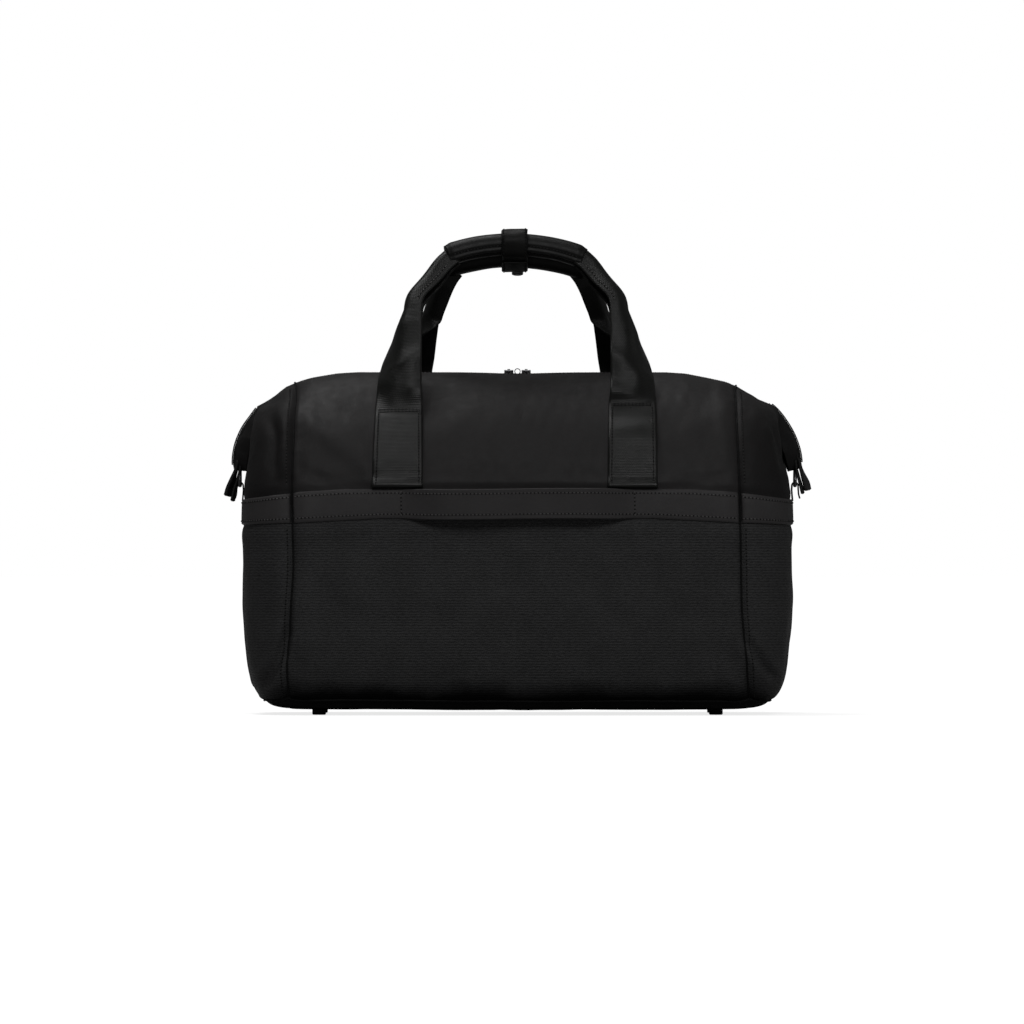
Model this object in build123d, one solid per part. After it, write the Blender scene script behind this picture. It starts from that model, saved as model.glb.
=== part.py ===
"""Soft weekender bag: a fabric box whose upper body leans in to a long top zip. It has two webbing
handles joined by a snap wrap, fold-down wings at both ends of the zip, D-rings, a waist band that
becomes a luggage sleeve on the back, and a zipped patch pocket on the front.

Millimetres. +Z up, +X to the right of a person looking at the back, the back faces -Y.
Origin: on the floor, under the middle of the bag.
"""

import math
import os

from build123d import *

os.makedirs("parts", exist_ok=True)

SIDES = (("left", -1), ("right", 1))  # name, sign of x
FACES = (("back", -1), ("front", 1))  # name, sign of y

# ---------------------------------------------------------------- shared dimensions
# z, half width, half depth, corner radius of the outside of the body
LEVELS = [
    (5.0, 205.0, 88.0, 34.0),
    (12.0, 223.0, 102.0, 40.0),
    (25.0, 231.5, 110.0, 43.0),
    (50.0, 236.5, 114.0, 45.0),
    (100.0, 238.5, 116.0, 45.0),
    (167.0, 239.0, 114.0, 45.0),
    (200.0, 238.0, 112.0, 45.0),
    (222.0, 235.0, 105.5, 44.0),
    (240.0, 231.5, 97.0, 42.0),
    (256.0, 229.5, 87.0, 39.0),
    (268.0, 227.5, 77.0, 36.0),
    (278.5, 212.0, 64.0, 30.0),
    (289.0, 194.5, 46.0, 22.0),
    (298.0, 150.0, 15.0, 7.0),
]
TOP_Z = LEVELS[-1][0]
FAR_X, FAR_Y, FAR_Z = 260.0, 140.0, 310.0  # reach of the cutting blocks, clear of the body

FABRIC_T = 3.0  # outer panel: woven face, foam and backing
SEAM_X = 196.0  # vertical seams between the main panels and the end gussets
BOTTOM_SEAM_Z = 12.0
WAIST_Z = 183.0  # joint of the upper and lower cloth, hidden behind the band
BAND_Z0, BAND_Z1 = 171.0, 196.5

FOOT_X, FOOT_Y = 173.0, 62.0

SLOT_X, SLOT_Y = 232.0, 13.0  # half length and half width of the zip opening in the top
SLOT_TOP = 300.0

# zip section, measured from the middle line between its two rows
TAPE_T = 1.0
TAPE_GAP = 3.5
COIL_T = 2.4
COIL_IN, COIL_OUT = 1.15, 3.45


# ---------------------------------------------------------------- helpers
def put(name, *shapes):
    """Write one node from one or more solids."""
    solids = [solid for shape in shapes for solid in shape.solids()]
    node = solids[0] if len(solids) == 1 else Compound(children=solids)
    node.label = name
    export_step(node, f"parts/{name}.step")


def block(x0, x1, y0, y1, z0, z1):
    """A box between two opposite corners, given in either order."""
    centre = Pos((x0 + x1) / 2, (y0 + y1) / 2, (z0 + z1) / 2)
    return centre * Box(abs(x1 - x0), abs(y1 - y0), abs(z1 - z0))


def flip(points, sign):
    """The points with their first coordinate multiplied by a sign."""
    return [(sign * across, up) for across, up in points]


def polygon(points):
    return make_face(Polyline(*points, close=True))


def plate(points, half, axis="y", at=0.0):
    """A polygon extruded both ways: axis y draws in (x, z), axis x draws in (y, z)."""
    if axis == "y":
        face = polygon([(x, at, z) for x, z in points])
        return extrude(face, amount=half, both=True, dir=(0, 1, 0))
    face = polygon([(at, y, z) for y, z in points])
    return extrude(face, amount=half, both=True, dir=(1, 0, 0))


def offset_line(points, distance):
    """A polyline moved to the left of its direction, with mitred corners."""
    normals = []
    for (x0, z0), (x1, z1) in zip(points, points[1:]):
        length = math.hypot(x1 - x0, z1 - z0)
        normals.append((-(z1 - z0) / length, (x1 - x0) / length))
    moved = []
    for i, (x, z) in enumerate(points):
        near = normals[max(i - 1, 0) : i + 1]
        mean_x = sum(n[0] for n in near) / len(near)
        mean_z = sum(n[1] for n in near) / len(near)
        mitre = distance / (mean_x**2 + mean_z**2)
        moved.append((x + mean_x * mitre, z + mean_z * mitre))
    return moved


def strip(points, offset0, offset1, half, axis="y", at=0.0):
    """A strip between two offsets of a polyline, extruded."""
    outline = offset_line(points, offset0) + offset_line(points, offset1)[::-1]
    return plate(outline, half, axis, at)


def cylinder_x(radius, length):
    return Rot(0, 90, 0) * Cylinder(radius, length)


def cylinder_y(radius, length):
    return Rot(90, 0, 0) * Cylinder(radius, length)


def inset_levels(distance):
    """LEVELS moved inwards, square to the slopes of the end profile and the side profile."""
    inset = []
    last = len(LEVELS) - 1
    for i, (z, width, depth, corner) in enumerate(LEVELS):
        if i == 0:
            nx, ny, nz = 0.9, 0.9, -1.0
        elif i == last:
            nx, ny, nz = 0.6, 0.6, 1.0
        else:
            nx = ny = nz = 0.0
            for low, high in ((LEVELS[i - 1], LEVELS[i]), (LEVELS[i], LEVELS[i + 1])):
                rise, widen, deepen = (high[k] - low[k] for k in range(3))
                nx += rise / math.hypot(rise, widen) / 2
                ny += rise / math.hypot(rise, deepen) / 2
                nz -= deepen / math.hypot(rise, deepen) / 2
        radius = max(corner - distance, 3.0)
        half_depth = max(depth - distance * ny, radius + 0.5)  # keeps the rounded corners valid
        inset.append((z - distance * nz, width - distance * nx, half_depth, radius))
    return inset


def body(levels):
    faces = [Plane.XY.offset(z) * RectangleRounded(2 * w, 2 * d, r) for z, w, d, r in levels]
    return loft(faces, ruled=True)


# ---------------------------------------------------------------- body panels
SLOT_FLOOR = 262.0
FOOT_HOLE_R = 2.0

outer = body(LEVELS)
inner = body(inset_levels(FABRIC_T))
shell = outer - inner - block(-SLOT_X, SLOT_X, -SLOT_Y, SLOT_Y, SLOT_FLOOR, SLOT_TOP)
foot_places = [(sx * FOOT_X, sy * FOOT_Y) for sx in (-1, 1) for sy in (-1, 1)]

bottom = shell & block(-FAR_X, FAR_X, -FAR_Y, FAR_Y, 0, BOTTOM_SEAM_Z)
for x, y in foot_places:
    bottom -= Pos(x, y, 7.0) * Cylinder(FOOT_HOLE_R, 6.0)
put("bottom_panel", bottom)

for tier, z0, z1 in (("lower", BOTTOM_SEAM_Z, WAIST_Z), ("upper", WAIST_Z, FAR_Z)):
    for face, sign in FACES:
        panel = shell & block(-SEAM_X, SEAM_X, 0, sign * FAR_Y, z0, z1)
        put(f"{face}_{tier}_panel", panel)
    for side, sign in SIDES:
        gusset = shell & block(sign * SEAM_X, sign * FAR_X, -FAR_Y, FAR_Y, z0, z1)
        put(f"{side}_{tier}_gusset", gusset)

# ---------------------------------------------------------------- piping on the vertical seams
PIPING_IN, PIPING_OUT = 0.8, 3.0  # distances out from the body's profile
PIPING_HALF = 1.1
PIPING_Z_MAX = 285.5
PIPING_LIFT, LIFT_ABOVE_Z = 0.8, 230.0  # the piping is raised a little where the body leans in


def piping(sx, sy):
    line = [
        (sy * depth, z + (PIPING_LIFT if z > LIFT_ABOVE_Z else 0.0))
        for z, _, depth, _ in LEVELS
        if BOTTOM_SEAM_Z < z <= PIPING_Z_MAX
    ]
    return strip(line, -PIPING_IN * sy, -PIPING_OUT * sy, PIPING_HALF, axis="x", at=sx * SEAM_X)


put("seam_piping", *[piping(sx, sy) for sx in (-1, 1) for sy in (-1, 1)])

# ---------------------------------------------------------------- lining, base board and feet
LINING_LEVELS = (0, 1, 3, 6, 8, 10, 12, 13)  # rows of LEVELS: the lining is cut simpler
LINING_NEAR, LINING_FAR = 0.6, 1.4  # its two faces, inwards from the inside of the shell
LINING_SLOT_FLOOR = 255.0
BOARD_Z, BOARD_T = 10.0, 2.5
BOARD_X, BOARD_Y, BOARD_CORNER = 384.0, 150.0, 20.0
FOOT_H, FOOT_R, FOOT_ROUND = 5.0, 6.0, 1.2
SHANK_H, SHANK_R = 2.8, 1.9

lining_outer, lining_inner = [
    body([inset_levels(FABRIC_T + gap)[i] for i in LINING_LEVELS])
    for gap in (LINING_NEAR, LINING_FAR)
]
lining_slot = block(-SLOT_X, SLOT_X, -SLOT_Y, SLOT_Y, LINING_SLOT_FLOOR, SLOT_TOP)
put("lining", lining_outer - lining_inner - lining_slot)

board_face = Plane.XY.offset(BOARD_Z) * RectangleRounded(BOARD_X, BOARD_Y, BOARD_CORNER)
put("base_board", extrude(board_face, amount=BOARD_T))


def foot(x, y):
    """A disc rounded at the floor, with a shank that enters the bottom panel."""
    disc = Pos(x, y, FOOT_H / 2) * Cylinder(FOOT_R, FOOT_H)
    disc = fillet(disc.faces().sort_by(Axis.Z)[0].edges(), FOOT_ROUND)
    return disc + Pos(x, y, FOOT_H + SHANK_H / 2) * Cylinder(SHANK_R, SHANK_H)


put("feet", *[foot(x, y) for x, y in foot_places])

# ---------------------------------------------------------------- waist band and luggage sleeve
BAND_H = BAND_Z1 - BAND_Z0
BAND_OUTSIDE = (241.4, 116.4, 47.0)  # half width, half depth, corner radius
BAND_INSIDE = (239.3, 114.3, 45.2)
BAND_CUT_Z = (160.0, 210.0)
SEAM_GAP = 1.4  # the bands stop this far from each seam line
SLEEVE_T = 2.0
SLEEVE_Y = -114.4  # inner face where the sleeve is sewn down
SLEEVE_HALF = 101.0  # the band is free from the back between these cross stitches
SLEEVE_RAMP = 12.0
SLEEVE_GAP = 14.5


def band_solid(half_width, half_depth, corner):
    face = RectangleRounded(2 * half_width, 2 * half_depth, corner)
    return extrude(Plane.XY.offset(BAND_Z0) * face, amount=BAND_H)


band = band_solid(*BAND_OUTSIDE) - band_solid(*BAND_INSIDE)
band_end = SEAM_X - SEAM_GAP
for side, sign in SIDES:
    end_zone = block(sign * (SEAM_X + SEAM_GAP), sign * FAR_X, -FAR_Y, FAR_Y, *BAND_CUT_Z)
    put(f"{side}_waist_band", band & end_zone)
put("front_waist_band", band & block(-band_end, band_end, 0, FAR_Y, *BAND_CUT_Z))

# inner face of the sleeve in plan (x, y)
sleeve_path = [
    (-band_end, SLEEVE_Y),
    (-SLEEVE_HALF, SLEEVE_Y),
    (-SLEEVE_HALF + SLEEVE_RAMP, SLEEVE_Y - SLEEVE_GAP),
    (SLEEVE_HALF - SLEEVE_RAMP, SLEEVE_Y - SLEEVE_GAP),
    (SLEEVE_HALF, SLEEVE_Y),
    (band_end, SLEEVE_Y),
]
sleeve_outline = sleeve_path + offset_line(sleeve_path, -SLEEVE_T)[::-1]
sleeve_face = polygon([(x, y, BAND_Z0) for x, y in sleeve_outline])
put("luggage_sleeve_band", extrude(sleeve_face, amount=BAND_H, dir=(0, 0, 1)))

# ---------------------------------------------------------------- main zip
TAPE_Z = 294.9  # underside of the level stretch of tape
TAPE_HALF = 4.65
ZIP_END = (226.0, 269.0)  # x, z

# the zip follows the body's top three levels down to its ends
crest = [(width, z) for z, width, _, _ in LEVELS[:-4:-1]] + [ZIP_END]
zip_line = flip(crest[::-1], -1) + crest
tape_low = TAPE_Z - TOP_Z
tape_high = tape_low + TAPE_T
coil_proud = (COIL_T - TAPE_T) / 2
coil_half = (COIL_OUT - COIL_IN) / 2
coil_y = (COIL_OUT + COIL_IN) / 2

for face, sign in FACES:
    tape = strip(zip_line, tape_low, tape_high, TAPE_HALF, at=sign * (TAPE_GAP + TAPE_HALF))
    put(f"main_zip_tape_{face}", tape)
    coil_span = (tape_low - coil_proud, tape_high + coil_proud)
    put(f"main_zip_coil_{face}", strip(zip_line, *coil_span, coil_half, at=sign * coil_y))

# ---------------------------------------------------------------- zip sliders and pullers
SLIDER_X = 7.6  # each main slider's distance from the middle
SLIDER_LENGTH, SLIDER_HALF = 9.6, 6.0
PLATE_T, PLATE_Z, PLATE_CORNER = 1.4, 2.3, 2.5
NECK_HALF = 0.85
FLANGE = 1.1  # height and width of the side flanges
CROWN_Z, CROWN_R = 5.0, 0.75
EYE_OUTER_R, EYE_R, EYE_T = 2.75, 2.0, 1.2
EYE_Y, EYE_Z = -0.7, 4.6
PULLER_LENGTH, PULLER_WIDTH, PULLER_T = 28.0, 7.0, 1.6
MAIN_PULLER_TILT = -5.0


def zip_slider():
    """A coil-zip slider on the X axis, with the tape's middle plane at z 0. It has two plates, a
    neck between the rows at the nose, which points to -X, and a crown that carries the puller."""

    def slider_plate(z):
        flat = Pos(0, 0, z) * Box(SLIDER_LENGTH, 2 * SLIDER_HALF, PLATE_T)
        return fillet(flat.edges().filter_by(Axis.Z), PLATE_CORNER)

    neck = Pos(-SLIDER_LENGTH / 2 + 1.6, 0, 0) * Box(2.2, 2 * NECK_HALF, 3.4)
    slider = slider_plate(PLATE_Z) + slider_plate(-PLATE_Z) + neck
    for y in (-1, 1):
        for z in (-1, 1):
            place = Pos(0.6, y * (SLIDER_HALF - FLANGE / 2), z * 1.15)
            slider += place * Box(6.0, FLANGE, FLANGE)
    slider += Pos(0, 0, CROWN_Z) * cylinder_x(CROWN_R, 6.0)
    for x in (-1, 1):
        post = Pos(x * 3.2, 0, 4.3) * Box(1.6, 2.2, 3.2)
        slider += fillet(post.edges().filter_by(Axis.X).group_by(Axis.Z)[-1], 0.8)
    return slider


def lock_eye():
    """A flat upright loop in front of the nose that a padlock's shackle passes through."""
    loop = cylinder_y(EYE_OUTER_R, EYE_T) - cylinder_y(EYE_R, 2)
    arm = Pos(-4.6, EYE_Y, 2.6) * Box(2.6, EYE_T, 0.9)
    return Pos(-SLIDER_X, EYE_Y, EYE_Z) * loop + arm


def puller(tilt):
    """A puller that lies towards +Y. Its eye is at the origin, round the crown's bar along X."""
    eye = cylinder_x(1.75, 2.4)
    neck = Pos(0, 3.2, 0) * Box(2.4, 4.6, 1.4)
    tab = Pos(0, 5.0 + PULLER_LENGTH / 2, 0) * Box(PULLER_WIDTH, PULLER_LENGTH, PULLER_T)
    tab = fillet(tab.edges().filter_by(Axis.Z).group_by(Axis.Y)[-1], 3.0)
    tab = fillet(tab.edges().filter_by(Axis.Z).group_by(Axis.Y)[0], 2.0)
    return Rot(tilt, 0, 0) * (eye + neck + tab - cylinder_x(0.9, 4))


# both noses point to the middle; each eye keeps to its own side of y 0, so the two overlap
for (side, sign), turn in zip(SIDES, (180, 0)):
    tape_middle = TAPE_Z + TAPE_T / 2
    place = Pos(SLIDER_X * sign, 0, tape_middle) * Rot(0, 0, turn)
    put(f"main_slider_{side}", place * (zip_slider() + lock_eye()))
    crown_place = Pos(SLIDER_X * sign, 0, tape_middle + CROWN_Z)
    put(f"main_puller_{side}", crown_place * puller(MAIN_PULLER_TILT))

# ---------------------------------------------------------------- handles
WEB_IN, WEB_OUT = 80.0, 124.0  # x of the edges of the sewn webbing
WEB_T = 2.0
WEB_LIFT = 0.3  # gap between the sewn webbing and the cloth
SEWN_Y = 112.35  # half depth of the body where the sewn webbing starts
SEWN_BELOW_HINGE = 6.0
GRIP_R = 9.5
GRIP_CORE_R = 5.6
GRIP_HALF = 60.0
GRIP_ARC_R = 169.0
COVER_T = 1.0
LAYER_GAP = 0.1  # between cover and foam, and round the webbing legs
CORE_GAP = 0.15
CORE_OVERRUN, BORE_OVERRUN = 0.012, 0.03  # extra arc at each end, radians

# y, z of the line each handle folds on, and of the middle of its grip
BACK_HINGE, BACK_GRIP = (-77.0, 272.0), (-9.2, 409.0)
FRONT_HINGE, FRONT_GRIP = (84.3, 264.0), (9.2, 399.5)

# right leg of the webbing, flat: x, height above the fold line on a handle of LEG_LENGTH
LEG_LENGTH = 152.5
LEG_FOOT = [(81.0, 4.0), (123.5, 4.0)]  # the same height on every handle
LEG_OUTER = [(121.0, 22), (113.5, 52), (104.5, 80), (93.5, 103), (83.5, 122), (73.0, 135)]
LEG_INNER = [(73.0, 112), (79.5, 99), (81.5, 70)]


def handle_plane(hinge, grip):
    """Plane of one handle, x along the bag and y up from its fold line, and its length."""
    dy, dz = grip[0] - hinge[0], grip[1] - hinge[1]
    length = math.hypot(dy, dz)
    normal = Vector(1, 0, 0).cross(Vector(0, dy / length, dz / length))
    return Plane(origin=(0, *hinge), x_dir=(1, 0, 0), z_dir=normal), length


def leg_outline(length):
    """Broad at the fold line, narrow where it enters the grip."""
    scale = length / LEG_LENGTH
    grip_end = length - GRIP_ARC_R + math.sqrt(GRIP_ARC_R**2 - GRIP_HALF**2)
    return [
        *LEG_FOOT,
        *[(x, y * scale) for x, y in LEG_OUTER],
        (GRIP_HALF + 0.3, grip_end + 5.5),
        (GRIP_HALF - 3.5, grip_end - 3.6),
        *[(x, y * scale) for x, y in LEG_INNER],
    ]


def handle(name, hinge, grip):
    plane, length = handle_plane(hinge, grip)
    outline = leg_outline(length)
    grip_angle = math.asin(GRIP_HALF / GRIP_ARC_R)
    arc_centre = length - GRIP_ARC_R

    def leg(sign, half):
        return extrude(plane * polygon(flip(outline, sign)), amount=half, both=True)

    def rod(radius, overrun=0.0):
        """A round bar along the grip's arc."""
        angle = grip_angle + overrun
        end_x = GRIP_ARC_R * math.sin(angle)
        end_y = arc_centre + GRIP_ARC_R * math.cos(angle)
        path = plane * ThreePointArc((-end_x, end_y), (0, length), (end_x, end_y))
        start = Plane(origin=path @ 0, z_dir=path % 0)
        return sweep(start * Circle(radius), path=path)

    web = rod(GRIP_CORE_R, CORE_OVERRUN) + leg(-1, WEB_T / 2) + leg(1, WEB_T / 2)
    foam = rod(GRIP_R - COVER_T - LAYER_GAP) - rod(GRIP_CORE_R + CORE_GAP, BORE_OVERRUN)
    cover = rod(GRIP_R) - rod(GRIP_R - COVER_T, BORE_OVERRUN)
    # the legs enter the grip's ends flat: clear them from foam and cover
    for sign in (-1, 1):
        leg_room = leg(sign, WEB_T / 2 + LAYER_GAP)
        foam -= leg_room
        cover -= leg_room
    put(f"{name}_handle_webbing", web)
    put(f"{name}_handle_grip_foam", foam)
    put(f"{name}_handle_grip_cover", cover)


def half_depth_at(height):
    """Half depth of the body at a height, between the two levels round it."""
    for (z0, _, d0, _), (z1, _, d1, _) in zip(LEVELS, LEVELS[1:]):
        if z0 <= height <= z1:
            return d0 + (height - z0) / (z1 - z0) * (d1 - d0)


def sewn_end(sx, sy, top_z):
    """Webbing that follows the upper panel from the band to just below the fold line."""
    line = [(SEWN_Y, BAND_Z1 + 0.3)]
    line += [(depth, z) for z, _, depth, _ in LEVELS if BAND_Z1 < z < top_z]
    line.append((half_depth_at(top_z), top_z))
    near, far = -sy * WEB_LIFT, -sy * (WEB_LIFT + WEB_T)
    half = (WEB_OUT - WEB_IN) / 2
    return strip(flip(line, sy), near, far, half, axis="x", at=sx * (WEB_IN + WEB_OUT) / 2)


for name, sy, hinge, grip in (
    ("back", -1, BACK_HINGE, BACK_GRIP),
    ("front", 1, FRONT_HINGE, FRONT_GRIP),
):
    handle(name, hinge, grip)
    top_z = hinge[1] - SEWN_BELOW_HINGE
    put(f"{name}_handle_sewn_ends", *[sewn_end(sx, sy, top_z) for sx in (-1, 1)])

# ---------------------------------------------------------------- handle wrap, its flap and snap
WRAP_HALF = 11.0
WRAP_IN = GRIP_R + 1.6
WRAP_OUT = WRAP_IN + 2.0
WRAP_ZONE_Z = (370.0, 440.0)
BASE_Y, FLAP_Y = 0.4, 0.9  # the base ends at the first, the flap starts at the second
CAP_R, CAP_T, CAP_GAP = 5.0, 1.5, 0.2
CAP_TILT = 20.0  # from straight down towards the front


def capsule(radius, half):
    """A solid round both grips, along X."""
    (y0, z0), (y1, z1) = BACK_GRIP, FRONT_GRIP
    back_end = Pos(0, y0, z0) * cylinder_x(radius, 2 * half)
    front_end = Pos(0, y1, z1) * cylinder_x(radius, 2 * half)
    span = math.hypot(y1 - y0, z1 - z0)
    angle = math.degrees(math.atan2(z1 - z0, y1 - y0))
    centre = Pos(0, (y0 + y1) / 2, (z0 + z1) / 2)
    return back_end + centre * Rot(angle, 0, 0) * Box(2 * half, span, 2 * radius) + front_end


wrap = capsule(WRAP_OUT, WRAP_HALF) - capsule(WRAP_IN, WRAP_HALF + 5)
put("handle_wrap_base", wrap & block(-20, 20, -60, BASE_Y, *WRAP_ZONE_Z))
put("handle_wrap_flap", wrap & block(-20, 20, FLAP_Y, 60, *WRAP_ZONE_Z))
# press-stud cap on the lower front of the flap
cap_drop = Pos(0, 0, -(WRAP_OUT + CAP_GAP + CAP_T / 2))
cap_place = Pos(0, *FRONT_GRIP) * Rot(CAP_TILT, 0, 0) * cap_drop
put("handle_wrap_snap_cap", cap_place * Cylinder(CAP_R, CAP_T))

# ---------------------------------------------------------------- wings at the ends of the zip
WING_HALF, WING_TAB_HALF = 30.0, 11.0
# x, z of the right wing: down its outer face, then up its inner face
WING_OUTLINE = [
    (229.2, 267.6), (231.5, 266.8), (237.5, 257.3), (243.5, 245.0),
    (247.2, 235.5), (249.3, 225.0), (249.3, 216.5),
    (243.6, 216.5), (241.9, 226.0), (238.6, 240.0), (235.0, 252.0), (230.8, 262.0),
]
# y, z of the piece cut from each edge, so that the wing narrows towards its tab
WING_TAPER = [(31.0, 252.0), (31.0, 210.0), (15.0, 210.0), (20.0, 232.0)]
# x, z of the right wing's tab
WING_TAB_OUTLINE = [
    (246.3, 216.1), (249.6, 216.1), (252.2, 200.0), (254.8, 192.2),
    (250.4, 186.0), (248.2, 192.4), (248.5, 203.0),
]
SNAP_Z = 226.0
SNAP_R, SNAP_T = 5.5, 1.6


def wing(sign):
    flap = plate(flip(WING_OUTLINE, sign), WING_HALF)
    for sy in (-1, 1):
        flap -= plate(flip(WING_TAPER, sy), 14.0, axis="x", at=sign * 243.0)
    snap_recess = Pos(sign * 239.5, 0, SNAP_Z) * cylinder_x(5.7, 4.0)
    return flap - snap_recess


def snap_socket(sign):
    disc = Cylinder(SNAP_R, SNAP_T) - Cylinder(2.5, 3)
    return Pos(sign * 240.6, 0, SNAP_Z) * Rot(0, 90, 0) * disc


def snap_stud(sign):
    """Disc and post, trimmed to the outside of the gusset."""
    disc = Pos(sign * 235.7, 0, SNAP_Z) * cylinder_x(SNAP_R, SNAP_T)
    post = Pos(sign * 238.6, 0, SNAP_Z) * cylinder_x(2.1, 4.4)
    return disc + post - outer


for side, sign in SIDES:
    put(f"{side}_wing", wing(sign))
    put(f"{side}_wing_tab", plate(flip(WING_TAB_OUTLINE, sign), WING_TAB_HALF))
    put(f"{side}_wing_snap_socket", snap_socket(sign))
    put(f"{side}_wing_snap_stud", snap_stud(sign))

# ---------------------------------------------------------------- D-rings
RING_X, RING_Z = 243.2, 200.0  # the straight bar
RING_WIRE_R = 1.5
RING_HALF = 12.0
RING_SHOULDER, RING_RISE = 5.0, 14.0  # where the bow starts to curve, and its top
LOOP_R, LOOP_BORE_R, LOOP_WIDTH = 2.8, 1.7, 19.0
LEAF_IN, LEAF_OUT = 0.2, 3.0  # outwards from the bar
LEAF_Z0, LEAF_Z1 = 189.0, 199.0


def d_ring(sign):
    x = sign * RING_X
    shoulder_z = RING_Z + RING_SHOULDER
    bar = Pos(x, 0, RING_Z) * cylinder_y(RING_WIRE_R, 2 * RING_HALF)
    rise = Polyline((x, -RING_HALF, RING_Z), (x, -RING_HALF, shoulder_z))
    bend = ThreePointArc(
        (x, -RING_HALF, shoulder_z), (x, 0, RING_Z + RING_RISE), (x, RING_HALF, shoulder_z)
    )
    fall = Polyline((x, RING_HALF, shoulder_z), (x, RING_HALF, RING_Z))
    start = Plane(origin=(x, -RING_HALF, RING_Z), z_dir=(0, 0, 1))
    bow = sweep(start * Circle(RING_WIRE_R), path=rise + bend + fall)
    corners = [Pos(x, y, RING_Z) * Sphere(RING_WIRE_R) for y in (-RING_HALF, RING_HALF)]
    return bar + bow + corners[0] + corners[1]


def d_ring_tab(sign):
    """Webbing loop round the bar, with a leaf that runs down outside the band's top edge."""
    place = Pos(sign * RING_X, 0, RING_Z)
    bore = cylinder_y(LOOP_BORE_R, LOOP_WIDTH + 2)
    loop = place * (cylinder_y(LOOP_R, LOOP_WIDTH) - bore)
    x0, x1 = sign * (RING_X + LEAF_IN), sign * (RING_X + LEAF_OUT)
    leaf = block(x0, x1, -LOOP_WIDTH / 2, LOOP_WIDTH / 2, LEAF_Z0, LEAF_Z1)
    leaf -= place * bore
    return loop + leaf


for side, sign in SIDES:
    put(f"{side}_d_ring", d_ring(sign))
    put(f"{side}_d_ring_tab", d_ring_tab(sign))

# ---------------------------------------------------------------- front pocket
POCKET_HALF, POCKET_Z0, POCKET_Z1 = 186.0, 24.0, 157.0
POCKET_BACK_Y, POCKET_FRONT_Y = 95.0, 121.5
POCKET_CORNER = 16.0
POCKET_T = 2.5
POCKET_CLEARANCE = 0.15  # between the pocket and the body
POCKET_ZIP_Y, POCKET_ZIP_Z = 118.1, 164.0  # middle of the zip
POCKET_ZIP_HALF = 170.0
POCKET_SLIDER_X = -158.0
POCKET_PULLER_TILT = 8.0


def pocket_block(inset):
    half = POCKET_HALF - inset
    front_y = POCKET_FRONT_Y - inset
    solid = block(-half, half, POCKET_BACK_Y, front_y, POCKET_Z0 + inset, POCKET_Z1 - inset)
    return fillet(solid.edges().filter_by(Axis.Y), POCKET_CORNER - inset)


def pocket_zip_row(thickness, z0, z1):
    y0, y1 = POCKET_ZIP_Y - thickness / 2, POCKET_ZIP_Y + thickness / 2
    return block(-POCKET_ZIP_HALF, POCKET_ZIP_HALF, y0, y1, z0, z1)


clear = body([(z, w + POCKET_CLEARANCE, d + POCKET_CLEARANCE, r) for z, w, d, r in LEVELS])
put("front_pocket_panel", pocket_block(0) - pocket_block(POCKET_T) - clear)

for row, sign, tape_edge in (("lower", -1, 157.2), ("upper", 1, 170.7)):
    tape = pocket_zip_row(TAPE_T, tape_edge, POCKET_ZIP_Z + sign * TAPE_GAP)
    put(f"pocket_zip_tape_{row}", tape)
    coil_z = [POCKET_ZIP_Z + sign * edge for edge in (COIL_IN, COIL_OUT)]
    put(f"pocket_zip_coil_{row}", pocket_zip_row(COIL_T, *coil_z))

# turned so that the slider's crown faces +Y, and the puller hangs down from it
face_front = Rot(-90, 0, 0)
put("pocket_slider", Pos(POCKET_SLIDER_X, POCKET_ZIP_Y, POCKET_ZIP_Z) * face_front * zip_slider())
pocket_crown = Pos(POCKET_SLIDER_X, POCKET_ZIP_Y + CROWN_Z, POCKET_ZIP_Z)
put("pocket_puller", pocket_crown * face_front * puller(POCKET_PULLER_TILT))

# ---------------------------------------------------------------- inside pocket on the back wall
least_depth = min(depth for z, _, depth, _ in LEVELS if 60 <= z <= 180)
wall_y = -(least_depth - FABRIC_T - 4.0)  # back face of the pocket, clear of the lining
put("inside_pocket_panel", block(-110, 110, wall_y, wall_y + 1.2, 60, 172))
put("inside_pocket_zip", block(-95, 95, wall_y + 1.3, wall_y + 3.0, 158, 166))
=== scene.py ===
"""A soft travel bag with two carrying handles, a ridge zip, end wings and a front pocket.

The bag stands on z = 0 and is centred on x = y = 0. Its length runs along x, its back (with the
luggage sleeve band) looks to -y and towards the camera, and its front (with the pocket) to +y.
"Left" is -x. Lengths are millimetres unless noted, and link() turns them into metres.
"""
import math

import bpy
import numpy as np
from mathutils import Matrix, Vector


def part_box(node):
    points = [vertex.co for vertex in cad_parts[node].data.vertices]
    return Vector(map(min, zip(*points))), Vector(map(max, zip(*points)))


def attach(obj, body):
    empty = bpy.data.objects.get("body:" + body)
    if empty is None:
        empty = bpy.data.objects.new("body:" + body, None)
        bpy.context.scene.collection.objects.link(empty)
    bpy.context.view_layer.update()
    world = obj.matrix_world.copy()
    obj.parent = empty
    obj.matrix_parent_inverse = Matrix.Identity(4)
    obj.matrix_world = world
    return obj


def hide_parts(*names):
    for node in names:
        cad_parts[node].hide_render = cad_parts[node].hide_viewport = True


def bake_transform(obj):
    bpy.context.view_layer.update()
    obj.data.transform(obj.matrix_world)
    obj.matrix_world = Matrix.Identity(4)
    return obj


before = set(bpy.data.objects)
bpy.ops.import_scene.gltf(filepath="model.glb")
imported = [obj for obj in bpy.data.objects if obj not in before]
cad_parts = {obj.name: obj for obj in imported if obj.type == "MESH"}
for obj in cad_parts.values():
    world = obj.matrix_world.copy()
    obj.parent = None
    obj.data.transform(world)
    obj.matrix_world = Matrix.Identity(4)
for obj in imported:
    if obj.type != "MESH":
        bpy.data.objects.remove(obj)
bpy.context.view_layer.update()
MM = 0.001
X_AXIS, Y_AXIS, Z_AXIS = np.eye(3)
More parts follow.
